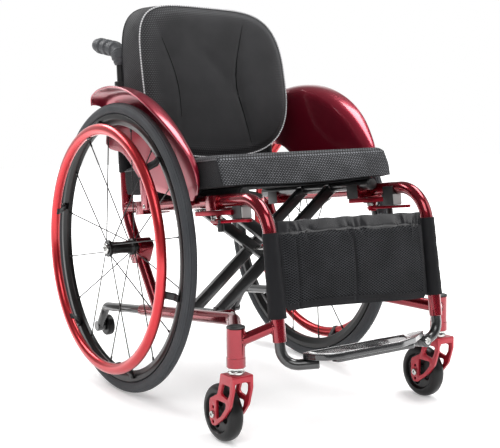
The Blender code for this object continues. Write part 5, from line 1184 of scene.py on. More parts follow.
def makeCasters():
    c = casterSizes
    centre = casterPoint(0, c["trail"], c["radius"])
    half, radius = c["width"] / 2, c["radius"]
    # |x/half|^power + |(r - root)/crown|^power = 1 above the root, and a narrower seat on the hub below it
    turn = np.linspace(0, math.pi, 25)
    power, crown = c["treadPower"], c["crownDepth"]
    reach = (np.abs(np.cos(turn)) ** power + np.abs(np.sin(turn)) ** power) ** (-1 / power)
    tread = np.stack([half * np.cos(turn) * reach, radius - crown + crown * np.sin(turn) * reach], -1)
    tread = np.vstack([tread, [(-c["webHalf"], radius - 0.0185), (c["webHalf"], radius - 0.0185)]])
    tyre = turned("tyre", tread, centre, outboard, 96, closed=True)
    addPair("caster_wheel", tyre, "rubber", "caster_wheel", ["caster_wheel"])
    web, hub, rim = c["webHalf"], c["hubRadius"], radius - 0.0180
    section = roundedOutline([(-half, 0.0044), (-half, hub), (-web, hub + 0.001), (-web, rim), (web, rim),
                              (web, hub + 0.001), (half, hub), (half, 0.0044)],
                             [0, 0.001, 0.002, 0, 0, 0.002, 0.001, 0], 3)
    cutters = []
    for k in range(c["openings"]):
        angle = 2 * math.pi * k / c["openings"] + 0.3
        middle = centre + c["openingReach"] * np.array([0, math.cos(angle), math.sin(angle)])
        profile = [(-0.02, c["openingRadius"]), (0.02, c["openingRadius"])]
        cutters.append(turned("hole", profile, middle, outboard, 24))
    hubMesh = worked("hub", turned("hub", section, centre, outboard, 64, closed=True), (), cutters, 0.0006)
    addPair("caster_hub", hubMesh, "plastic", "caster_wheel")

    inside, outside = c["legInside"], c["legOutside"]
    top = c["crownTop"]
    leg = roundedOutline([(-0.0215, top), (0.0180, top), (0.0225, 0.1080), (0.0290, 0.0900),
                          (0.0530, 0.0775), (0.0560, 0.0700), (0.0545, 0.0400), (0.0470, 0.0305),
                          (0.0360, 0.0320), (0.0070, 0.0530), (-0.0110, 0.0740), (-0.0215, 0.1060)],
                         [0.003, 0.003, 0.012, 0.010, 0.004, 0.004, 0.006, 0.005, 0.008, 0.012, 0.020,
                          0.012], 6)
    legPlace = lambda b, z, a: casterPoint(a, b, z)
    windows = [roundedOutline([(-0.0120, 0.1120), (0.0110, 0.1120), (0.0185, 0.0935), (0.0130, 0.0900),
                               (-0.0040, 0.0870), (-0.0110, 0.0990)],
                              [0.003, 0.003, 0.002, 0.004, 0.003, 0.003], 4),
               roundedOutline([(0.0325, 0.0795), (0.0010, 0.0800), (0.0030, 0.0700), (0.0180, 0.0530),
                               (0.0330, 0.0430)], [0.003, 0.003, 0.004, 0.006, 0.003], 4)]
    cutters = [plate("window", w, legPlace, -0.03, 0.03, 0.0001, 1) for w in windows]
    gapOutline = roundedOutline([(-inside, -0.01), (inside, -0.01), (inside, top - c["crown"]),
                                 (-inside, top - c["crown"])], [0, 0, 0.004, 0.004], 5)
    cutters.append(plate("gap", gapOutline, lambda a, z, b: casterPoint(a, b, z), -0.03, 0.09, 0.0001, 1))
    for step in (-1, 0, 1):
        r = c["boltRadius"] + gap if step == 0 else c["holeRadius"]
        hole = casterPoint(0, c["trail"], c["radius"] + c["holeStep"] * step)
        cutters.append(turned("hole", [(-0.03, r), (0.03, r)], hole, outboard, 24))
    fork = worked("fork", plate("fork", leg, legPlace, -outside, outside, 0.0002, 1), (), cutters, 0.0010)
    stem = turned("stem", [(top - 0.003, 0.001), (top - 0.003, 0.0060), (0.1950, 0.0060), (0.1955, 0.0055),
                           (0.1955, 0.001)], casterPoint(0, 0, 0), upright, 32)
    addPair("caster_fork", fork, "forkRed", "caster_fork", ["caster_fork"], smooth=32)
    addPair("caster_stem", stem, "steel", "caster_fork")

    reach, headR = outside + gap, c["boltHead"]
    socket = roundedOutline(circle(0.0030, 6), [0.0003] * 6, 2)
    head = ((0, headR), (0.0032, headR), (0.0042, 0.0050), (0.0042, 0.0005))
    bolt = turned("bolt", pinProfile(-reach, reach, c["boltRadius"], head), centre, outboard, 40)
    facePlace = lambda a, b, h: pointsFrom(centre[0] + h, centre[1] + a, centre[2] + b)
    sockets = [plate("socket", socket, facePlace, s * (reach + 0.0015), s * (reach + 0.006), 0.0001, 1)
               for s in (-1, 1)]
    addPair("caster_bolt", worked("bolt", bolt, (), sockets), "steel", "caster_fork", ["caster_bolt"])
    low, high = top + gap, sideFrame["barrelBottom"] - gap
    ring = [(low, 0.0063), (low, 0.0143), (low + 0.0006, 0.0148), (low + 0.0040, 0.0148),
            (low + 0.0046, 0.0138), (low + 0.0055, 0.0132), (high - 0.0006, 0.0132), (high, 0.0126),
            (high, 0.0063)]
    addPair("bearing_washer", turned("ring", ring, casterPoint(0, 0, 0), upright, 48), "steel", "frame",
            ["bearing_washer"])
    start, r = sideFrame["barrelTop"] - 0.008, sideFrame["barrelRadius"] + 0.0004
    cap = [(start, 0.001), (start, 0.0102), (start + 0.0083, 0.0102), (start + 0.0083, r),
           (start + 0.0098, r), (start + 0.0108, r - 0.0010), (start + 0.0114, r - 0.0030),
           (start + 0.0116, 0.0110), (start + 0.0112, 0.0095), (start + 0.0112, 0.001)]
    addPair("stem_cap", turned("cap", cap, casterPoint(0, 0, 0), upright, 48), "plastic", "frame",
            ["stem_cap"])


# Clothes guards

guardSizes = {
    "offset": 0.2042, "thickness": 0.0025, "flareHeight": 0.030, "lipRadius": 0.0020,
    "rearAngle": math.radians(112), "frontRise": 0.0128, "frontInset": 0.01275,
    "feet": (0.100, 0.262), "footLap": 0.016,
    # share of the arc, radius beyond the tyre, flare, lower edge behind the fender, its share of the way up
    "stations": (
        (0.000, -0.0030, 0.0015, 0.0077, 0.292), (0.023, 0.0110, 0.0040, 0.0243, 0.150),
        (0.058, 0.0240, 0.0080, 0.0368, 0.127), (0.116, 0.0320, 0.0130, 0.0468, 0.140),
        (0.209, 0.0330, 0.0220, 0.0615, 0.178), (0.314, 0.0330, 0.0310, 0.0673, 0.189),
        (0.419, 0.0330, 0.0360, 0.0697, 0.220), (0.523, 0.0330, 0.0380, 0.0571, 0.279),
        (0.628, 0.0330, 0.0380, 0.0377, 0.357), (0.733, 0.0325, 0.0380, 0.0210, 0.460),
        (0.826, 0.0315, 0.0375, 0.0097, 0.534), (0.907, 0.0300, 0.0350, 0.0066, 0.574),
        (0.965, 0.0260, 0.0310, 0.0053, 0.630), (1.000, 0.0170, 0.0260, 0.0084, 0.721)),
}


def curveThrough(at, places, values):
    # a smooth curve through given values: a cubic in each interval, its slopes taken from the neighbours
    places, values = np.asarray(places, float), np.asarray(values, float)
    slopes = np.gradient(values, places)
    k = np.clip(np.searchsorted(places, at, side="right") - 1, 0, len(places) - 2)
    width = places[k + 1] - places[k]
    t = (at - places[k]) / width
    a, b = values[k], values[k + 1]
    rise = (3 * t ** 2 - 2 * t ** 3)
    return (a + (b - a) * rise + width * (t - 2 * t ** 2 + t ** 3) * slopes[k]
            + width * (t ** 3 - t ** 2) * slopes[k + 1])


def makeGuards():
    # the panel rises straight to the fender's foot, which curls out over the tyre as a quarter of an oval
    # does, flatter towards the lip
    g = guardSizes
    pitch = chair["railPitch"]
    drop = railHeight - (hubHeight - g["frontRise"]) * math.cos(pitch)
    first = pitch + math.asin(drop / (chair["tyreRadius"] - g["frontInset"]))
    table = np.array(g["stations"])
    share = np.concatenate([np.linspace(0, 0.06, 14), np.linspace(0.06, 1, 100)[1:]])
    clearance, flare, setback, lift = (curveThrough(share, table[:, 0], table[:, k]) for k in (1, 2, 3, 4))
    angle = first + (g["rearAngle"] - first) * share
    outer = chair["tyreRadius"] + clearance
    height = g["flareHeight"] * np.minimum(1, 0.25 + flare / 0.020)
    ray = np.stack([np.zeros_like(angle), -np.cos(angle), np.sin(angle)], axis=-1)
    root = np.array([0, 0, hubHeight]) + ray * (outer - height)[:, None]
    low = railPoint(0, railAlong(root[:, 1] + setback, railHeight), railHeight)
    low[:, 2] += lift * (root[:, 2] - low[:, 2])
    edge = np.stack([low @ railAhead, low @ railUp], -1)
    up = np.linspace(0, 1, 10)[:-1, None, None]
    panel = low * (1 - up) + root * up
    bend = np.linspace(0, math.pi / 2, 14)[:, None, None]
    out = np.array([1.0, 0, 0])
    curl = root + ray * (height[:, None] * np.sin(bend) ** 0.7) + out * (flare[:, None] * (1 - np.cos(bend)))
    lip = curl[-1:] + out * flare[:, None] * np.linspace(0, 0.2, 4)[1:, None, None]
    grid = np.concatenate([panel, curl, lip]).transpose(1, 0, 2) + out * g["offset"]
    piece = loose("guard", gridMesh("guard", grid, wrapColumns=False))
    thick = piece.modifiers.new("Thickness", "SOLIDIFY")
    thick.thickness = g["thickness"]
    thick.offset = 0
    thick.use_even_offset = True
    mesh = meshFrom(rounded(applied(piece), 0.0008, 2, 50))
    rim = grid[6:, -1] - ray[6:] * g["lipRadius"] * 0.6
    bead = tube("lip", rim, g["lipRadius"], 0.0008, 12)
    addPair("clothes_guard", together("guard", [mesh, bead]), "guardRed", "frame", ["clothes_guard"],
            smooth=45)
    # the two feet: a pressed tab on the panel, a block to the rail, and its screw
    feet, screws = [], []
    half = g["thickness"] / 2 + 0.0006
    for along in g["feet"]:
        top = np.interp(along, edge[::-1, 0], edge[::-1, 1]) + g["footLap"]
        tab = roundedOutline([(along - 0.012, railHeight - 0.007), (along + 0.012, railHeight - 0.007),
                              (along + 0.012, top), (along - 0.012, top)], [0.003] * 4, 4)
        feet.append(plate("tab", tab, lambda a, b, c: railPoint(c, a, b), g["offset"] - half,
                          g["offset"] + half, 0.0005))
        block = roundedOutline([(along - 0.009, railHeight - 0.005), (along + 0.009, railHeight - 0.005),
                                (along + 0.009, railHeight + 0.005), (along - 0.009, railHeight + 0.005)],
                               [0.002] * 4, 3)
        feet.append(plate("foot", block, lambda a, b, c: railPoint(c, a, b), x0 + tubeRadius - 0.001,
                          g["offset"], 0.0004))
        screws.append(turned("screw", [(half - 0.0004, 0.0042), (half + 0.0010, 0.0042),
                                       (half + 0.0022, 0.0030), (half + 0.0024, 0.0018),
                                       (half + 0.0012, 0.0016), (half + 0.0012, 0.0003)],
                             railPoint(g["offset"], along, railHeight), outboard, 20))
    addPair("guard_feet", together("feet", feet), "guardRed", "frame")
    addPair("guard_screws", together("screws", screws), "steel", "frame")


# Brakes

brakeSizes = {
    "offset": 0.185, "pivot": 0.340, "barHalf": 0.0085, "barFrom": -0.066, "barTo": 0.062,
    "barDrop": 0.0255, "barHeight": 0.0090, "boltPlace": -0.052,
    "leverDrop": 0.0370, "leverThickness": 0.0055, "leverLength": 0.1115,
    "rollerReach": 0.0386, "rollerAngle": math.radians(23), "rollerRadius": 0.0060,
    "blockFrom": 0.057, "blockTo": 0.088,
    "springRadius": 0.0103, "springWire": 0.0009, "springTurns": 3.25, "springPitch": 0.0021,
}


def makeBrakes():
    k = brakeSizes
    low = railHeight - k["barDrop"]
    flat = lambda a, b, c: railPoint(k["offset"] + a, k["pivot"] + b, c)
    bar = roundedOutline([(-k["barHalf"], k["barFrom"]), (k["barHalf"], k["barFrom"]),
                          (k["barHalf"], k["barTo"]), (-k["barHalf"], k["barTo"])],
                         [0.004, 0.004, 0.001, 0.001], 5)
    bolt = turned("bolt", [(0, 0.0050), (0.0022, 0.0050), (0.0032, 0.0040), (0.0034, 0.0024),
                           (0.0018, 0.0022), (0.0018, 0.0004)],
                  flat(0, k["boltPlace"], low + k["barHeight"]), railUp, 20)
    addPair("brake_body", plate("bar", bar, flat, low, low + k["barHeight"], 0.0012), "leverRed", "frame",
            ["brake_body"])
    addPair("brake_bolts", bolt, "steel", "frame")
    bottom = railHeight - k["leverDrop"] + k["leverThickness"] / 2 + 0.0006
    side = roundedOutline([(x0 - 0.0155, bottom), (x0 + 0.0065, bottom), (x0 + 0.0065, railHeight + 0.004),
                           (x0 - 0.0155, railHeight + 0.004)], [0.0015, 0.0015, 0.003, 0.003], 4)
    across = lambda a, b, c: railPoint(a, k["pivot"] + c, b)
    rail = tube("rail", [railPoint(x0, 0.2, railHeight), railPoint(x0, 0.5, railHeight)], tubeRadius + gap)
    block = plate("block", side, across, k["blockFrom"], k["blockTo"] - 0.0025, 0.0010)
    addPair("brake_block", worked("block", block, (), [rail]), "plastic", "frame")
    face = roundedOutline([(x0 - 0.0145, bottom + 0.001), (x0 + 0.0055, bottom + 0.001),
                           (x0 + 0.0055, railHeight - tubeRadius), (x0 - 0.0145, railHeight - tubeRadius)],
                          [0.0015] * 4, 4)
    addPair("brake_face", plate("face", face, across, k["blockTo"] - 0.0026, k["blockTo"] + 0.0004, 0.0008),
            "greyBlock", "frame")
    height, half = railHeight - k["leverDrop"], k["leverThickness"] / 2
    reach = k["leverLength"]
    arm = roundedOutline([(-0.006, -0.012), (0.008, -0.012), (0.0205, 0.036), (0.012, 0.046), (0.006, 0.060),
                          (0.0055, reach), (-0.0055, reach), (-0.006, 0.040)],
                         [0.005, 0.006, 0.006, 0.005, 0.012, 0.005, 0.005, 0.006], 6)
    boss = turned("boss", [(height - 0.006, 0.002), (height - 0.006, 0.0075), (height - 0.005, 0.0085),
                           (low - gap, 0.0085), (low - gap, 0.002)], railPoint(k["offset"], k["pivot"], 0),
                  railUp, 32)
    lever = together("lever", [plate("arm", arm, flat, height - half, height + half, 0.0014), boss])
    addPair("brake_lever", lever, "leverRed", "brake_lever", ["brake_lever"])
    a = k["rollerReach"] * math.sin(k["rollerAngle"])
    b = k["rollerReach"] * math.cos(k["rollerAngle"])
    r = k["rollerRadius"]
    roller = turned("roller", [(height - 0.018, 0.001), (height - 0.018, r - 0.001), (height - 0.017, r),
                               (height - 0.0045, r), (height - 0.0035, r - 0.0012),
                               (height + 0.003, r - 0.0012), (height + 0.004, r - 0.002),
                               (height + 0.004, 0.001)], flat(a, b, 0), railUp, 32)
    addPair("brake_roller", roller, "plastic", "brake_lever")
    coil = helix(railPoint(k["offset"], k["pivot"], height + half + 0.0012), railUp, outboard,
                 k["springRadius"], k["springPitch"], k["springTurns"], 28)
    tail = coil[-1] + unit(coil[-1] - coil[-2]) * 0.012
    spring = tube("spring", np.vstack([coil[0] - unit(coil[1] - coil[0]) * 0.010, coil, tail]),
                  k["springWire"], 0.0002, 8, railUp)
    addPair("brake_spring", spring, "steel", "frame")


# Seat saddles, pins and axle brackets

def makeSmallHardware():
    addPair("axle_bracket", carried("left_axle_bracket", 0.0010), "frameRed", "frame", ["axle_bracket"],
            "cast_red")
    for place in ("saddle_front", "saddle_rear"):
        mesh = carried("left_" + place, 0.0009)
        setParts(mesh, centresOf(mesh)[:, 0] > x0 - tubeRadius)     # the clamp is painted with the frame
        addPair(place, mesh, ["plastic", "frameRed"], "frame", [place])
    (earRear, earFront), half = sideFrame["earPlaces"], sideFrame["earThickness"] / 2
    start, end = earRear - half - gap, earFront + half + gap
    head = ((0, 0.0070), (0.0025, 0.0070), (0.0035, 0.0055), (0.0035, 0.0005))
    pin = pinProfile(start, end, sideFrame["pinRadius"], head)
    addPair("pivot_pin", turned("pin", pin, railPoint(chair["pivotHalf"], 0, lowerHeight), railAhead, 32),
            "steel", "frame", ["pivot_pin"])


# Cross brace

braceSizes = {
    "barWidth": 0.022, "barDepth": 0.015, "rearBar": 0.1617, "spacing": 0.095, "shift": 0.0156,
    "seatTubeRadius": 0.0110, "seatTubeRear": 0.011, "seatTubeFront": 0.388, "plugLength": 0.004,
    "pivotTubeRadius": 0.0095, "earGap": 0.00255, "pinRadius": 0.004,
}


def makeBraces():
    s = braceSizes
    seatHeight, half = chair["seatTubeHeight"], chair["pivotHalf"]
    for name, side, shift in (("brace_a", 1, 0.0), ("brace_b", -1, s["shift"])):
        parts = []
        for along in (s["rearBar"] + shift, s["rearBar"] + s["spacing"] + shift):
            ends = [railPoint(-side * half, along, lowerHeight), railPoint(side * half, along, seatHeight)]
            run = unit(ends[1] - ends[0])
            parts.append(sweep("bar", ends, roundedBox(s["barDepth"], s["barWidth"], 0.0022, 5), railAhead))
            for end, radius in ((ends[0], s["pivotTubeRadius"]), (ends[1], s["seatTubeRadius"])):
                inward = run if end is ends[0] else -run
                seam = end + inward * (radius + 0.0008)
                outline = roundedBox(s["barDepth"], s["barWidth"], 0.0030, 6)
                up = unit(np.cross(run, railAhead))
                ring = seam + outline[:, :1] * railAhead + outline[:, 1:] * up
                curve = ((outline[:, 1:] / radius).clip(-1, 1)) ** 2 * radius * 0.45
                parts.append(sweep("weld", ring - inward * curve, circle(0.0018, 8), run, closed=True))
        tubeEnds = [railPoint(side * half, s["seatTubeRear"] + s["plugLength"], seatHeight),
                    railPoint(side * half, s["seatTubeFront"] - s["plugLength"], seatHeight)]
        parts.append(tube("seat tube", tubeEnds, s["seatTubeRadius"], 0.0006, 40))
        pivotEnds = [railPoint(-side * half, place + way * s["earGap"], lowerHeight)
                     for place, way in zip(sideFrame["earPlaces"], (1, -1))]
        parts.append(tube("pivot tube", pivotEnds, s["pivotTubeRadius"], 0.0008, 32))
        addPiece(name, together(name, parts), "blackTube", name, [name])
        plugs = []
        for end, way in ((s["seatTubeRear"], 1), (s["seatTubeFront"], -1)):
            r = s["seatTubeRadius"]
            plugs.append(turned("plug", [(end, 0.001), (end, r - 0.0020), (end + way * 0.0008, r - 0.0006),
                                         (end + way * 0.0018, r), (end + way * 0.0042, r),
                                         (end + way * 0.0042, 0.001)],
                                railPoint(side * half, 0, seatHeight), railAhead, 32))
        addPiece(name + "_plugs", together("plugs", plugs), "plastic", name)
    height = (lowerHeight + seatHeight) / 2
    start = s["rearBar"] - s["barDepth"] / 2 - gap
    end = s["rearBar"] + s["spacing"] + s["shift"] + s["barDepth"] / 2 + gap
    head = ((0, 0.0085), (0.0028, 0.0085), (0.0040, 0.0068), (0.0040, 0.0005))
    pin = pinProfile(start, end, s["pinRadius"], head)
    addPiece("centre_pin", turned("pin", pin, railPoint(0, 0, height), railAhead, 36), "steel", "brace_a",
             ["centre_pin"])


# Footplate

plateSizes = {
    "low": 0.0307, "high": 0.0205, "right": -0.157, "rear": 0.0190, "front": 0.0965, "split": 0.0098,
    "hingeX": 0.134, "hingeFront": 0.0215, "knuckle": 0.012, "recess": 0.0016,
    "gripRibs": 7, "gripPitch": 0.0075,
}


def makeFootplate():
    p = plateSizes
    # down is measured below the front tube's foot, so the plate's upper face has the smaller value
    high, low, split = p["high"], p["low"], p["split"]
    right, rear, front, hinge = p["right"], p["rear"], p["front"], p["hingeX"]
    outline = roundedOutline([(right, rear + 0.008), (right + 0.022, rear), (0.080, rear), (0.096, split),
                              (hinge - 0.006, split), (hinge - 0.006, p["hingeFront"] - 0.002),
                              (0.112, 0.034), (0.060, 0.074), (0.010, front), (-0.120, front),
                              (right + 0.006, front - 0.008), (right, front - 0.030)],
                             [0.008, 0.010, 0.006, 0.003, 0.002, 0.002, 0.010, 0.030, 0.030, 0.020, 0.012,
                              0.012], 8)
    recess = roundedOutline([(right + 0.018, rear + 0.008), (0.072, rear + 0.008), (0.040, front - 0.020),
                             (0.004, front - 0.009), (right + 0.030, front - 0.009),
                             (right + 0.014, front - 0.030)], [0.010, 0.010, 0.016, 0.016, 0.014, 0.010], 8)
    drop = blackTubes["hangerDrop"]
    r, tip = p["knuckle"], p["hingeFront"]
    knuckle = turned("knuckle", [(split, 0.0043), (split, r - 0.0006), (split + 0.0006, r), (tip - 0.0016, r),
                                 (tip - 0.0004, r - 0.0010), (tip, r - 0.0024), (tip, 0.0043)],
                     frontPoint(hinge, 0, drop), frontAhead, 48, closed=True)
    ribOutline = roundedOutline([(-0.118, 0.055), (0.055, 0.055), (0.055, 0.078), (-0.118, 0.078)],
                                [0.006] * 4, 5)
    rib = plate("rib", ribOutline, frontPoint, low - 0.002, low + 0.0080, 0.0012)
    cutter = plate("recess", recess, frontPoint, high - 0.01, high + p["recess"], 0.0001, 1)
    body = worked("plate", plate("plate", outline, frontPoint, high, low, 0.0016, 5), (), [cutter])
    body = meshFrom(rounded(loose("plate", body), 0.0006, 2, 60))
    lines = []
    for k in range(p["gripRibs"]):
        g = 0.036 + k * p["gripPitch"]
        reach = 0.045 - 0.0016 * k
        floor = high + p["recess"]
        line = stadium(-0.040 - reach, -0.040 + reach, g, 0.0011, 6)
        lines.append(plate("line", line, frontPoint, floor - 0.0007, floor + 0.0005, 0.0003, 2))
    addPiece("footplate", together("footplate", [body, knuckle, rib] + lines), "plateBlack", "footplate",
             ["footplate"], smooth=32)
    start, end = gap - blackTubes["hingeHalf"], tip + gap
    pin = [(start, 0.0005), (start, 0.0038), (start + 0.0004, 0.004), (end, 0.004), (end, 0.0066),
           (end + 0.0020, 0.0066), (end + 0.0030, 0.0054), (end + 0.0030, 0.0030), (end + 0.0014, 0.0028),
           (end + 0.0014, 0.0005)]
    addPiece("footplate_pin", turned("pin", pin, frontPoint(hinge, 0, drop), frontAhead, 32), "steel",
             "left_frame", ["footplate_pin"])


# Cloth and pads

def padSheet(outline, place, height, spread=0.93, count=72):
    # a square grid pushed out to the outline: m is the larger of |p| and |q|, the angle picks the edge's
    # point, and the grid's lines crowd towards the edge as a sine does
    s = np.sin(np.linspace(-1, 1, count + 1) * math.pi / 2 * spread) / math.sin(math.pi / 2 * spread)
    q, p = np.meshgrid(s, s, indexing="ij")
    m = np.maximum(np.abs(p), np.abs(q))
    a, b = outline(np.arctan2(q, p))
    a, b = a * m, b * m
    return place(a, b, height(a, b, m)), np.stack([a, b], axis=-1)


def rimOf(grid):
    # the grid's border, once round, starting at its first corner
    return np.concatenate([grid[0, :-1], grid[:-1, -1], grid[-1, :0:-1], grid[:0:-1, 0]])


def superOval(halfA, halfB, power):
    # |a/halfA|^power + |b/halfB|^power = 1, by the angle on the unit square
    def edge(angle):
        c, s = np.cos(angle), np.sin(angle)
        scale = (np.abs(c) ** power + np.abs(s) ** power) ** (-1 / power)
        return halfA * c * scale, halfB * s * scale
    return edge


def clothAt(mesh):
    # each face's mean place on the cloth, from its UV corners
    flat = np.zeros(len(mesh.loops) * 2)
    mesh.uv_layers["cloth"].data.foreach_get("uv", flat)
    starts, counts = np.zeros(len(mesh.polygons), int), np.zeros(len(mesh.polygons), int)
    mesh.polygons.foreach_get("loop_start", starts)
    mesh.polygons.foreach_get("loop_total", counts)
    return np.add.reduceat(flat.reshape(-1, 2), starts, axis=0) / counts[:, None]


def blownUp(mesh, held, cap, pressure, frames=16):
    # cloth filled a little from inside: held is each point's grip by the seams, cap the furthest it moves
    piece = loose("pad", mesh)
    grip = piece.vertex_groups.new(name="held")
    for level in np.unique(np.round(held, 2)):
        grip.add(np.flatnonzero(np.abs(held - level) < 0.006).tolist(), float(level), "REPLACE")
    cloth = piece.modifiers.new("Cloth", "CLOTH")
    settings = cloth.settings
    settings.quality = 6
    settings.mass = 0.15
    settings.tension_stiffness = settings.compression_stiffness = 25
    settings.shear_stiffness = 8
    settings.bending_stiffness = 1.2
    settings.use_pressure = True
    settings.uniform_pressure_force = pressure
    settings.vertex_group_mass = "held"
    settings.pin_stiffness = 1.0
    settings.effector_weights.gravity = 0.0
    cloth.collision_settings.use_collision = False
    cloth.point_cache.frame_start = 1
    cloth.point_cache.frame_end = frames
    before = np.zeros(len(mesh.vertices) * 3)
    mesh.vertices.foreach_get("co", before)
    for number in range(1, frames + 1):
        bpy.context.scene.frame_set(number)
    settled = piece.evaluated_get(bpy.context.evaluated_depsgraph_get()).data
    after = np.zeros(len(mesh.vertices) * 3)
    settled.vertices.foreach_get("co", after)
    piece.modifiers.clear()
    bpy.context.scene.frame_set(1)
    move = (after - before).reshape(-1, 3) * (1 - held)[:, None]
    length = np.linalg.norm(move, axis=1, keepdims=True)
    move *= np.minimum(1, cap / np.maximum(length, 1e-9))
    print("cloth settled, largest move", round(float(np.minimum(length, cap).max()), 4))
    mesh.vertices.foreach_set("co", (before.reshape(-1, 3) + move).ravel())
    return meshFrom(piece)


def onFace(mesh, a, z, lift):
    # where lines running back along y meet a mesh, moved by lift
    tree = BVHTree.FromPolygons([v.co for v in mesh.vertices], [p.vertices for p in mesh.polygons])
    hits = [tree.ray_cast((x, -1.0, height), (0, 1, 0))[0] for x, height in zip(a, z)]
    return np.array([np.array(hit) for hit in hits]) + lift


def pointsOf(mesh):
    points = np.zeros(len(mesh.vertices) * 3)
    mesh.vertices.foreach_get("co", points)
    return points.reshape(-1, 3)


def withCord(name, path, radius, finish, body):
    # a piping cord round a pad's edge, with its length in the UV map for the ticks
    path = np.vstack([path, path[:1]])
    lengths = lengthsAlong(path)
    count = int(lengths[-1] / 0.0035)
    path = pointsAt(path, np.linspace(0, lengths[-1], count, endpoint=False))
    ahead = unit(np.roll(path, -1, 0) - np.roll(path, 1, 0))
    side = unit(np.cross(ahead, (0, 1, 0)))
    up = np.cross(side, ahead)
    section = circle(radius, 8)
    grid = path[:, None] + section[:, :1] * side[:, None] + section[:, 1:] * up[:, None]
    along = np.linspace(0, lengths[-1], count + 1)[:, None] + np.zeros(9)
    uv = np.stack([along, np.zeros((count + 1, 1)) + np.arange(9) * 0.0007], axis=-1)
    return addPiece(name, gridMesh(name, grid, wrapRows=True, uv=uv), finish, body)


# Seat

seatSizes = {
    "halfWidth": 0.1990, "rear": 0.003, "front": 0.392, "power": 60,
    "low": 0.3970, "thickness": 0.0595, "crown": -0.0010, "sideRoll": 0.0125, "frontRoll": 0.0155,
    "wallRows": 14,
    "lean": 0.022, "narrowing": 0.016, "pressure": 0.4, "cap": 0.0014, "piping": 0.0012, "spread": 0.005,
    "slingHalf": 0.1500, "slingRear": 0.021, "slingFront": 0.384, "slingThickness": 0.0016,
    "slingSag": 0.0045,
}


def makeSeatCushion():
    # spacer cloth runs over the top and rolls down the front; plain panels close the two sides
    s = seatSizes
    middle, half = (s["rear"] + s["front"]) / 2, (s["front"] - s["rear"]) / 2
    low, thick, wide = s["low"], s["thickness"], s["halfWidth"]
    outline = superOval(wide, half, s["power"])

    def place(a, b, h):
        # the front leans back and the sides draw in with height
        rise = (h - low) / thick
        lean = s["lean"] * rise * np.maximum(0, b / half) ** 2
        spread = s["spread"] * smoothStep(a, 0, wide) * smoothStep(b, 0.3 * half, half)
        return railPoint(a * (1 - s["narrowing"] * rise) + spread, middle + b - lean, h)

    def hang(a):
        # how far the sling hangs between its tubes: 1 in the middle, 0 over each tube
        return np.maximum(0, 1 - (a / s["slingHalf"]) ** 2) ** 1.5

    def top(a, b, m):
        # a low crown that rolls over at its rim as a quarter circle does, further in at the front
        front = smoothStep(b / half - np.abs(a) / wide, -0.04, 0.04)
        rim = s["sideRoll"] + (s["frontRoll"] - s["sideRoll"]) * front
        roll = np.clip((m - 1 + rim / half) / (rim / half), 0, 1)
        slack = 0.0004 * np.sin(a * 46 + 1.3 * np.sin(b * 21)) * np.sin(b * 34 + 0.7) * (1 - m ** 4)
        fall = rim * 0.85 * (1 - np.sqrt(1 - roll ** 2 * 0.97))
        return low + thick + s["crown"] * (1 - m ** 2) + slack - fall

    upper, flat = padSheet(outline, place, top, 0.95, 80)
    tucked = lambda a, b, h: place(a * 0.982, b * 0.985, h)
    underside = lambda a, b, m: low - s["slingSag"] * 0.8 * hang(a) + 0.0022 * smoothStep(m, 0.93, 1.0)
    lower, lowerFlat = padSheet(outline, tucked, underside, 0.95, 80)
    start, end, edge = rimOf(upper), rimOf(lower), rimOf(flat)
    share = np.linspace(0, 1, s["wallRows"] + 1)[:, None]
    outward = unit(np.stack([edge[:, 0] / wide, -edge[:, 1] / half, 0 * edge[:, 0]], axis=1))
    ripple = 0.0005 * np.sin(share * 9) * np.sin(edge[:, 0] * 60 + edge[:, 1] * 55)
    belly = np.sin(np.pi * share) * 0.0022 + ripple
    wall = start * (1 - share[..., None]) + end * share[..., None] + outward * belly[..., None]
    # along the walls the cloth's measure is the length round the rim, counted from the middle of the front
    lengths = lengthsAlong(np.vstack([edge, edge[:1]]))
    front = np.argmin(np.abs(edge[:, 0]) + np.abs(edge[:, 1] - half))
    u = lengths[front] - lengths
    wallUv = np.stack([u + 0 * share, half + share * thick + 0 * u], -1)
    meshes = [gridMesh("top", upper, wrapColumns=False, uv=flat),
              gridMesh("wall", wall, caps=False, uv=wallUv),
              gridMesh("bottom", lower, wrapColumns=False, uv=lowerFlat)]
    around = clothAt(meshes[1])[:, 0]
    setParts(meshes[1], np.where(np.abs(around) < wide, 0, 1))
    setParts(meshes[2], 1)
    mesh = together("seat_cushion", meshes, 1e-6)
    points = pointsOf(mesh)
    sideSeam = start[np.abs(edge[:, 0]) > wide * 0.97]
    seam = np.min(np.linalg.norm(points[:, None] - sideSeam[None, ::2], axis=2), axis=1)
    held = np.where(points @ railUp < low + 0.010, 1.0, 0.0)
    held = np.maximum(held, 1 - smoothStep(seam, 0.0, 0.006))
    ahead = points @ railAhead
    held = np.maximum(held, 0.9 * smoothStep(ahead, s["front"] - 0.055, s["front"] - 0.025))
    mesh = blownUp(mesh, held, s["cap"], s["pressure"])
    cushion = addPiece("seat_cushion", mesh, ["seatMesh", "blackCloth"], "seat", ["seat_cushion"], smooth=60)
    cords, seams = [], []
    for side in (-1, 1):
        line = start[(side * edge[:, 0] > wide * 0.97) & (edge[:, 1] < half * 0.985)]
        line = line[np.argsort(line[:, 1])]
        line = line + (side * 0.0006, 0, 0) + railUp * 0.0002
        cords.append(sweep("cord", pointsAt(line, np.linspace(0, lengthsAlong(line)[-1], 90)),
                           circle(s["piping"], 8)))
        corner = wall[:, np.argmin(np.abs(u[:-1] + side * wide))]
        seams.append(sweep("seam", corner, circle(0.0008, 8)))
    piping = addPiece("seat_piping", together("cords", cords), "seatPiping", "seat")
    bead = addPiece("seat_corner_seams", together("seams", seams), "blackCloth", "seat")
    return [cushion, piping, bead]


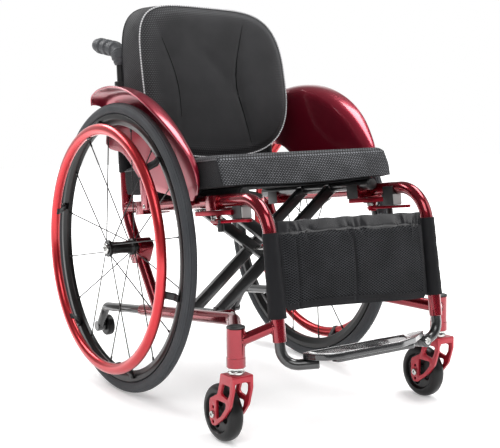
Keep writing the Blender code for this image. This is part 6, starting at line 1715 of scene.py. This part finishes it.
def makeSeatSling():
    # a strip round the outer quarter of each seat tube and across between them, where it sags
    s = seatSizes
    r, half = braceSizes["seatTubeRadius"] + gap, s["slingHalf"]
    top = chair["seatTubeHeight"] + r
    turn = np.linspace(math.radians(4), math.pi / 2, 10)
    part = np.linspace(1, -1, 61)[1:-1]
    inner = [np.stack([half + r * np.cos(turn), top - r + r * np.sin(turn)], -1),
             np.stack([half * part, top - s["slingSag"] * (1 - part ** 2) ** 1.5], -1)]
    inner = np.vstack(inner + [(inner[0] * (-1, 1))[::-1]])
    ahead = unit(np.gradient(inner, axis=0))
    normal = np.stack([ahead[:, 1], -ahead[:, 0]], -1)
    normal = normal * np.sign(normal[len(normal) // 2, 1])
    outer = inner + normal * s["slingThickness"]
    section = np.vstack([inner, outer[::-1]])
    deep = s["slingFront"] - s["slingRear"]
    along = np.concatenate([[0, 0.0012], np.linspace(0.004, deep - 0.004, 40), [deep - 0.0012, deep]])
    across, along = lengthsAlong(section), along[:, None]
    grid = railPoint(section[None, :, 0] + 0 * along, s["slingRear"] + along, section[None, :, 1] + 0 * along)
    uv = np.stack([np.append(across, across[-1] + s["slingThickness"])[None] + 0 * along,
                   along + np.zeros(len(section) + 1)], -1)
    sling = addPiece("seat_sling", gridMesh("seat_sling", grid, uv=uv), "blackCloth", "seat",
                     ["seat_sling"], "black_cloth", smooth=60)
    hems = []
    for place in (s["slingRear"] + 0.0035, s["slingFront"] - 0.0035, s["slingFront"] - 0.016):
        height = top + s["slingThickness"] - s["slingSag"] * (1 - part ** 2) ** 1.5
        hems.append(sweep("hem", railPoint(half * part, place, height), circle(0.00055, 6), upright))
    hem = addPiece("seat_sling_stitching", together("hems", hems), "blackCloth", "seat")
    return [sling, hem]


# Back

backSizes = {
    "halfWidth": 0.1765, "bottom": 0.4740, "top": 0.7890, "rearSpread": 0.009,
    "power": (3.6, 1.0, 0.2),       # the outline's power: even, by corner and by side
    "topFall": 0.0021, "topTilt": 0.047,
    "face": -0.0425, "slope": 0.190, "crown": 0.0115, "rear": -0.0145,
    # the two seams in the face: heights, places across, how deep it pulls in, and where its thread shows
    "seams": (((0.474, 0.506, 0.560, 0.613, 0.654, 0.700, 0.744, 0.789),
               (0.0700, 0.0637, 0.0520, 0.0417, 0.0429, 0.0560, 0.0721, 0.0900), 0.0062, (0.500, 0.752)),
              ((0.474, 0.540, 0.583, 0.610, 0.638, 0.676, 0.713, 0.789),
               (-0.1150, -0.1050, -0.1028, -0.1028, -0.1056, -0.1142, -0.1259, -0.1500),
               0.0030, (0.560, 0.722))),
    "wallRows": 12, "piping": 0.0015, "pressure": 0.8, "cap": 0.0030,
    "slingLow": 0.072, "slingHigh": 0.239, "sleeve": 0.0139, "sleeveInner": 0.0123,
    "straps": (0.094, 0.138, 0.182, 0.222), "strapWidth": 0.025,
}


def makeBackCushion():
    s = backSizes
    middle, half = (s["bottom"] + s["top"]) / 2, (s["top"] - s["bottom"]) / 2

    def outline(angle):
        # an oval whose corners are squarest at the upper right and roundest at the lower left
        even, once, twice = s["power"]
        turn = angle - 0.75 * math.pi
        return superOval(s["halfWidth"], half, even + once * np.cos(turn) + twice * np.cos(2 * turn))(angle)

    def front(a, b, m):
        # leans back, crowned in the middle, with two curved seams that pull it in, one slanting fold
        # between a hollow and a swell, and slack creases that fade towards the rim
        face = s["face"] + s["slope"] * (b + half) - s["crown"] * (1 - m ** 3)
        fade = 1 - m ** 4
        for heights, places, depth, _ in s["seams"]:
            aside = a - curveThrough(middle + b, heights, places)
            pull = 0.6 * np.exp(-(aside / 0.005) ** 2) + 0.4 * np.exp(-(aside / 0.020) ** 2)
            face += depth * pull * fade
        slant = (0.75 * (a + 0.005) + 0.66 * (b - 0.028), 0.66 * (a + 0.005) - 0.75 * (b - 0.028))
        face += 0.0030 * np.exp(-(slant[0] / 0.016) ** 2 - (slant[1] / 0.060) ** 2)
        face -= 0.0022 * np.exp(-((slant[0] + 0.034) / 0.018) ** 2 - (slant[1] / 0.050) ** 2)
        crease = np.sin(a * 62 + 2.2 * np.sin(b * 14 + 0.6)) * 0.5 + np.sin(a * 31 - b * 26 + 1.1) * 0.5
        face += 0.0010 * crease * fade * smoothStep(np.abs(b) + 0.25 * np.abs(a), 0.0, 0.10)
        face += 0.0016 * np.exp(-((b + 0.004 + 0.5 * a) / 0.020) ** 2) * np.exp(-(a / 0.05) ** 2)
        return face + 0.0075 * smoothStep(m, 0.90, 1.0)

    def rear(a, b, m):
        flat = postPoint(0, s["rear"], middle + b - chair["postFoot"][1])[..., 1]
        return flat - 0.004 * smoothStep(m, 0.90, 1.0)

    def place(a, b, h):
        high = np.maximum(0, b / half) ** 2
        return np.stack([a, h, middle + b - (s["topFall"] + s["topTilt"] * a) * high], axis=-1)

    upper, flat = padSheet(outline, place, front, 0.90, 84)
    wider = lambda a, b, h: place(a * (1 + s["rearSpread"] / s["halfWidth"]), b, h)
    lower, lowerFlat = padSheet(outline, wider, rear, 0.90, 84)
    start, end, edge = rimOf(upper), rimOf(lower), rimOf(flat)
    share = np.linspace(0, 1, s["wallRows"] + 1)[:, None]
    outward = unit(np.stack([edge[:, 0], 0 * edge[:, 0], edge[:, 1]], axis=1))
    puff = 0.0018 * np.sin(np.pi * share) + 0.0006 * np.sin(share * 7) * np.sin(lengthsAlong(edge) * 80)
    wall = start * (1 - share[..., None]) + end * share[..., None] + outward * puff[..., None]
    around = np.append(lengthsAlong(edge), lengthsAlong(np.vstack([edge, edge[:1]]))[-1])
    depth = np.linalg.norm(start - end, axis=1)
    wallUv = np.stack([around + 0 * share, 0.3 + np.append(depth, depth[:1]) * share], -1)
    meshes = [gridMesh("front", upper, wrapColumns=False, uv=flat),
              gridMesh("wall", wall, caps=False, uv=wallUv),
              gridMesh("rear", lower, wrapColumns=False, uv=lowerFlat)]
    setParts(meshes[1], 1)
    setParts(meshes[2], 2)
    mesh = together("back_cushion", meshes, 1e-6)
    points = pointsOf(mesh)
    height = np.clip(points[:, 2], s["bottom"], s["top"])
    gaps = [points[:, 0] - curveThrough(height, heights, places) for heights, places, _, _ in s["seams"]]
    onSeam = np.exp(-(np.min(np.abs(gaps), axis=0) / 0.006) ** 2)
    rim = np.min(np.linalg.norm(points[:, None] - start[None, ::2], axis=2), axis=1)
    back = points[:, 1] > postPoint(0, s["rear"] - 0.008, points[:, 2] - chair["postFoot"][1])[:, 1]
    held = np.maximum(np.maximum(onSeam, 1 - smoothStep(rim, 0.0, 0.006)), back * 1.0)
    mesh = blownUp(mesh, held, s["cap"], s["pressure"])
    cushion = addPiece("back_cushion", mesh, ["backFace", "backSide", "blackCloth"], "right_frame",
                       ["back_cushion"], smooth=60)
    piping = withCord("back_piping", start + outward * 0.0006 + np.array([0, -0.0006, 0]), s["piping"],
                      "piping", "right_frame")
    second = withCord("back_rear_piping", end + outward * 0.0002, 0.0011, "blackCloth", "right_frame")
    threads = []
    # each seam's cord lies along its valley on the face and widens with how deep the seam pulls in: thread
    # and painted valley shade together
    for heights, places, depth, reach in s["seams"]:
        z = np.linspace(*reach, 60)
        line = onFace(mesh, curveThrough(z, heights, places), z, (0, -0.0003, 0))
        thick = 0.0003 + depth * 0.11 * np.sin(np.linspace(0.1, 3.04, 60))
        threads.append(sweep("seam", line, circle(1.0, 8), scale=thick))
    stitched = addPiece("back_seam_threads_shade", together("threads", threads), "seamCloth", "right_frame")
    return [cushion, piping, second, stitched]


def makeBackSling():
    # the panel in front of the posts, the sleeves round them, and the straps across its back
    s = backSizes
    r, inner = s["sleeve"], s["sleeveInner"]
    reach, low = chair["halfWidth"] - 0.006, s["slingLow"]
    high = s["slingHigh"] - low
    part = np.linspace(-1, 1, 49)
    up = np.concatenate([[0, 0.0012], np.linspace(0.004, high - 0.004, 30), [high - 0.0012, high]])[:, None]
    fold = 0.0004 * np.sin(up * 90 + part * 3) * (1 - part ** 2)
    ahead = -r + 0.0012 * (1 - part ** 2) + fold
    face = postPoint(reach * part + 0 * up, ahead, low + up)
    behind = postPoint(reach * part + 0 * up, ahead + 0.0028, low + up)
    grid = np.concatenate([face, behind[:, ::-1]], axis=1)
    across = np.concatenate([reach * part, 0.4 - reach * part[::-1]])
    uv = np.stack([np.append(across, across[-1] + 0.003) + 0 * up, up + np.zeros(len(across) + 1)], -1)
    panel = addPiece("back_sling", gridMesh("back_sling", grid, uv=uv), "blackCloth", "right_frame",
                     ["back_sling"], "black_cloth", smooth=60)
    strapMeshes = []
    for middle in s["straps"]:
        width, thick = s["strapWidth"] / 2, 0.0007
        corners = [(-width, 0), (width, 0), (width, 2 * thick), (-width, 2 * thick)]
        section = roundedOutline(corners, [0.0005] * 4, 2)
        line = part * (reach - 0.010)
        lie = -r + 0.0012 * (1 - part ** 2) + 0.0030 + 0.0004 * np.sin(part * 9 + middle * 40)
        grid = postPoint(line[:, None] + 0 * section[:, 0], lie[:, None] + section[:, 1],
                         middle + section[:, 0])
        uv = np.stack([line[:, None] + np.zeros(len(section) + 1),
                       np.append(section[:, 0], section[0, 0]) + 0 * line[:, None]], -1)
        strapMeshes.append(gridMesh("strap", grid, uv=uv))
    straps = addPiece("back_straps", together("straps", strapMeshes), "webbing", "right_frame", smooth=50)
    soft = [panel, straps]
    for side, sign in sides.items():
        turn = np.linspace(0, 2 * math.pi, 41)[:-1]
        rows = np.concatenate([[0, 0, 0.0008], np.linspace(0.004, high - 0.004, 24),
                               [high - 0.0008, high, high]])
        behind = smoothStep(np.cos(turn), -0.5, 0.5)
        wrinkle = 1 + 0.012 * np.sin(rows[:, None] * 130 + 2 * np.sin(turn)) * behind
        radius = np.where(np.arange(len(rows)) % (len(rows) - 1) == 0, inner, r)[:, None] * wrinkle
        radius[[1, -2]] = r - 0.0006
        a, b = radius * np.cos(turn), radius * np.sin(turn)
        outside = postPoint(sign * x0 + a, b, low + rows[:, None])
        lining = postPoint(sign * x0 + inner * np.cos(turn), inner * np.sin(turn), low + rows[:, None])
        loop = np.concatenate([outside, lining[::-1]])
        sleeve = gridMesh("sleeve", loop, wrapRows=True)
        sleeve.uv_layers.new(name="cloth")
        flatUv(sleeve, r, low)
        piece = addPiece("back_sleeve_" + side, sleeve, "blackCloth", side + "_frame", smooth=50)
    return soft


def flatUv(mesh, radius, low):
    # unrolls a sleeve: the angle round its own middle line times its radius, against height
    points = pointsOf(mesh)
    loops = np.zeros(len(mesh.loops), int)
    mesh.loops.foreach_get("vertex_index", loops)
    at = points[loops]
    middle = points.mean(axis=0)
    turn = np.arctan2(at[:, 1] - middle[1], at[:, 0] - middle[0])
    mesh.uv_layers["cloth"].data.foreach_set("uv", np.stack([turn * radius, at[:, 2] - low], -1).ravel())


# Calf bag

bagSizes = {
    "reach": 0.1643, "bulge": 0.011, "length": 0.156,
    # distances below the front tubes' feet along the top and bottom edges, from the right side to the left
    "stops": (-1.0, -0.7, -0.2, 0.3, 0.66, 1.0),
    "topEdge": (-0.2040, -0.2042, -0.2030, -0.2012, -0.1995, -0.1970),
    "bottomEdge": (-0.0500, -0.0505, -0.0466, -0.0415, -0.0375, -0.0360),
    "corner": 0.010, "band": 0.155, "hem": 0.095, "leftHem": 0.055, "rightPleat": -0.80, "divider": -0.04,
    "sleeveLow": 0.040, "sleeveHigh": 0.186, "sleeveInner": 0.0123, "sleeve": 0.0139,
}


def makeCalfBag():
    # two layers sewn at the rim: the back one lies flat, the front one is gathered under the top band and
    # filled below it, with a divider between its two pockets and a pleat beside the right-hand one
    s = bagSizes
    rows, columns = 130, 240
    v = (1 - np.cos(np.linspace(0, math.pi, rows + 1) * 0.96 + 0.02)) / 2
    v = ((v - v[0]) / (v[-1] - v[0]))[:, None]
    part = np.sin(np.linspace(-1, 1, columns + 1) * math.pi / 2 * 0.9) / math.sin(math.pi / 2 * 0.9)
    edge = 1 - np.abs(part) ** 8
    top, bottom = (curveThrough(part, s["stops"], s[k]) for k in ("topEdge", "bottomEdge"))
    bottom = bottom - s["corner"] * smoothStep(np.abs(part), 0.93, 1.0)
    down = top + (bottom - top) * v + 0.0007 * np.sin(part * 23 + 0.8) * (1 - v)
    full = s["bulge"] * np.sin(np.pi * np.minimum(1, v * 1.06)) ** 0.7 * edge
    wander = part * 17 + 1.0 + 1.6 * np.sin(part * 7.0) + v * 5 * np.sin(part * 9.0)
    gathers = 0.0022 * np.sin(wander) + 0.0017 * np.sin(wander * 2.1 + 2.0)
    gathers += 0.0006 * np.sin(wander * 4.3 + 0.5)
    gathers *= 0.55 + 0.45 * np.sin(part * 6.3 + 1.0 + 1.5 * np.sin(part * 3.1))
    lean = v + 0.30 * s["band"] * np.sin(part * 15 + 2 * np.sin(part * 7))
    gathers = gathers * edge * np.exp(-((lean - s["band"] * 0.92) / (s["band"] * 0.50)) ** 2)
    lengthwise = 0.0009 * np.sin(part * 13 + 1.7 * np.sin(v * 3)) * edge * np.sin(np.pi * v) ** 2
    casing = -0.0022 * np.exp(-((v - s["band"]) / 0.020) ** 2) * edge
    split = -0.0042 * np.exp(-((part - s["divider"]) / 0.018) ** 2)
    split = split * smoothStep(v, s["band"], 0.35) * (1 - v ** 6)
    pleat = -0.0030 * np.exp(-((part - s["rightPleat"]) / 0.014) ** 2) * smoothStep(v, s["band"], 0.3)
    hem = -0.0016 * np.exp(-((v - (1 - s["hem"])) / 0.010) ** 2) * edge
    back = -0.0040 + 0.4 * gathers
    front = np.maximum(0.0008 + full * 0.93 + gathers + lengthwise + casing + split + pleat + hem,
                       back + 0.0012)
    frontGrid = frontPoint(s["reach"] * part + 0 * v, front + 0 * v, down)
    backGrid = frontPoint(s["reach"] * part + 0 * v, back + 0 * v, down)
    uv = np.stack([s["reach"] * part + 0 * v, s["length"] * (1 - v) + 0 * part], -1)
    meshes = [gridMesh("front", frontGrid, wrapColumns=False, uv=uv),
              gridMesh("back", backGrid, wrapColumns=False, uv=uv)]
    place = clothAt(meshes[0])
    across, height = place[:, 0] / s["reach"], 1 - place[:, 1] / s["length"]
    ruffle = 0.013 * np.sin(across * 21 + 2.4 * np.sin(across * 8))
    number = np.where(height < s["band"] + ruffle, 1, 0)
    plain = (height > 1 - s["hem"] + 0.03 * across ** 2) | (across > 1 - s["leftHem"]) | (across < -0.975)
    plain |= (np.abs(across - s["divider"]) < 0.012)
    number = np.where((number == 0) & plain, 2, number)
    setParts(meshes[0], number)
    setParts(meshes[1], 2)
    rim = np.stack([rimOf(frontGrid), rimOf(frontGrid) * 0.5 + rimOf(backGrid) * 0.5, rimOf(backGrid)])
    border = np.append(lengthsAlong(rim[0]), 0)
    meshes.append(setParts(gridMesh("rim", rim, caps=False, uv=np.stack(
        [border + np.zeros((3, 1)), np.arange(3)[:, None] * 0.002 + 0 * border], -1)), 2))
    bag = addPiece("calf_bag", together("calf_bag", meshes, 1e-6), ["net", "satinCloth", "blackCloth"],
                   "right_frame", ["calf_bag"], smooth=60)
    return [bag]


def makeCalfSleeves():
    # a sleeve round each front tube, a little wider at its foot, with shallow wrinkles and a flat seam
    s = bagSizes
    rows = np.concatenate([[0, 0, 0.001], np.linspace(0.004, 0.996, 60), [0.999, 1, 1]])[:, None]
    turn = np.linspace(0, 2 * math.pi, 61)[:-1]
    radius = s["sleeve"] + 0.0022 * (1 - rows) ** 1.6
    wrinkle = 0.00022 * np.sin(rows * 44 + 2.5 * np.sin(turn)) + 0.0002 * np.sin(rows * 21 - 3 * turn)
    fold = 0.0008 * np.exp(-((turn - 1.5 * math.pi - 0.35) / 0.10) ** 2)
    radius = np.maximum(radius + (wrinkle + fold) * np.sin(np.pi * rows) ** 0.3, s["sleeveInner"] + 0.0006)
    radius[[0, -1]] = s["sleeveInner"]
    radius[[1, -2]] -= 0.0007
    down = -(s["sleeveLow"] + (s["sleeveHigh"] - s["sleeveLow"]) * rows)
    outside = frontPoint(x0 + radius * np.cos(turn), radius * np.sin(turn), down)
    lining = frontPoint(x0 + s["sleeveInner"] * np.cos(turn), s["sleeveInner"] * np.sin(turn), down)
    mesh = gridMesh("calf_sleeve", np.concatenate([outside, lining[::-1]]), wrapRows=True)
    mesh.uv_layers.new(name="cloth")
    flatUv(mesh, s["sleeve"], 0.2)
    addPair("calf_sleeve", mesh, "sleeveCloth", "frame", ["calf_sleeve"], smooth=50)


for make, name in ((makeSideFrame, "side frames"), (makeHangers, "hangers"), (makeHandles, "push handles"),
                   (makeAntiTips, "anti-tip tubes"), (makeWheels, "rear wheels"), (makeCasters, "casters"),
                   (makeGuards, "clothes guards"), (makeBrakes, "brakes"),
                   (makeSmallHardware, "small hardware"), (makeBraces, "cross brace"),
                   (makeFootplate, "footplate"), (makeCalfSleeves, "calf sleeves")):
    make()
    print(name, "made")

seatPad, seatCloth = makeSeatCushion(), makeSeatSling()
print("seat made")
backPad, backCloth, bag = makeBackCushion(), makeBackSling(), makeCalfBag()
print("back and calf bag made")

# each set of cloth and pads is given a mesh of its own, listed with a right-hand edge and a share
for folded, edge, keep in ((seatPad + backPad, 0.1714, 0.30), (seatCloth, 0.1513, 0.21), (bag, 0.1643, 0.269),
                           (backCloth[:1], 0.175, 0.315), (backCloth[1:], 0.165, 0.273)):
    for piece in folded:
        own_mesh(piece)
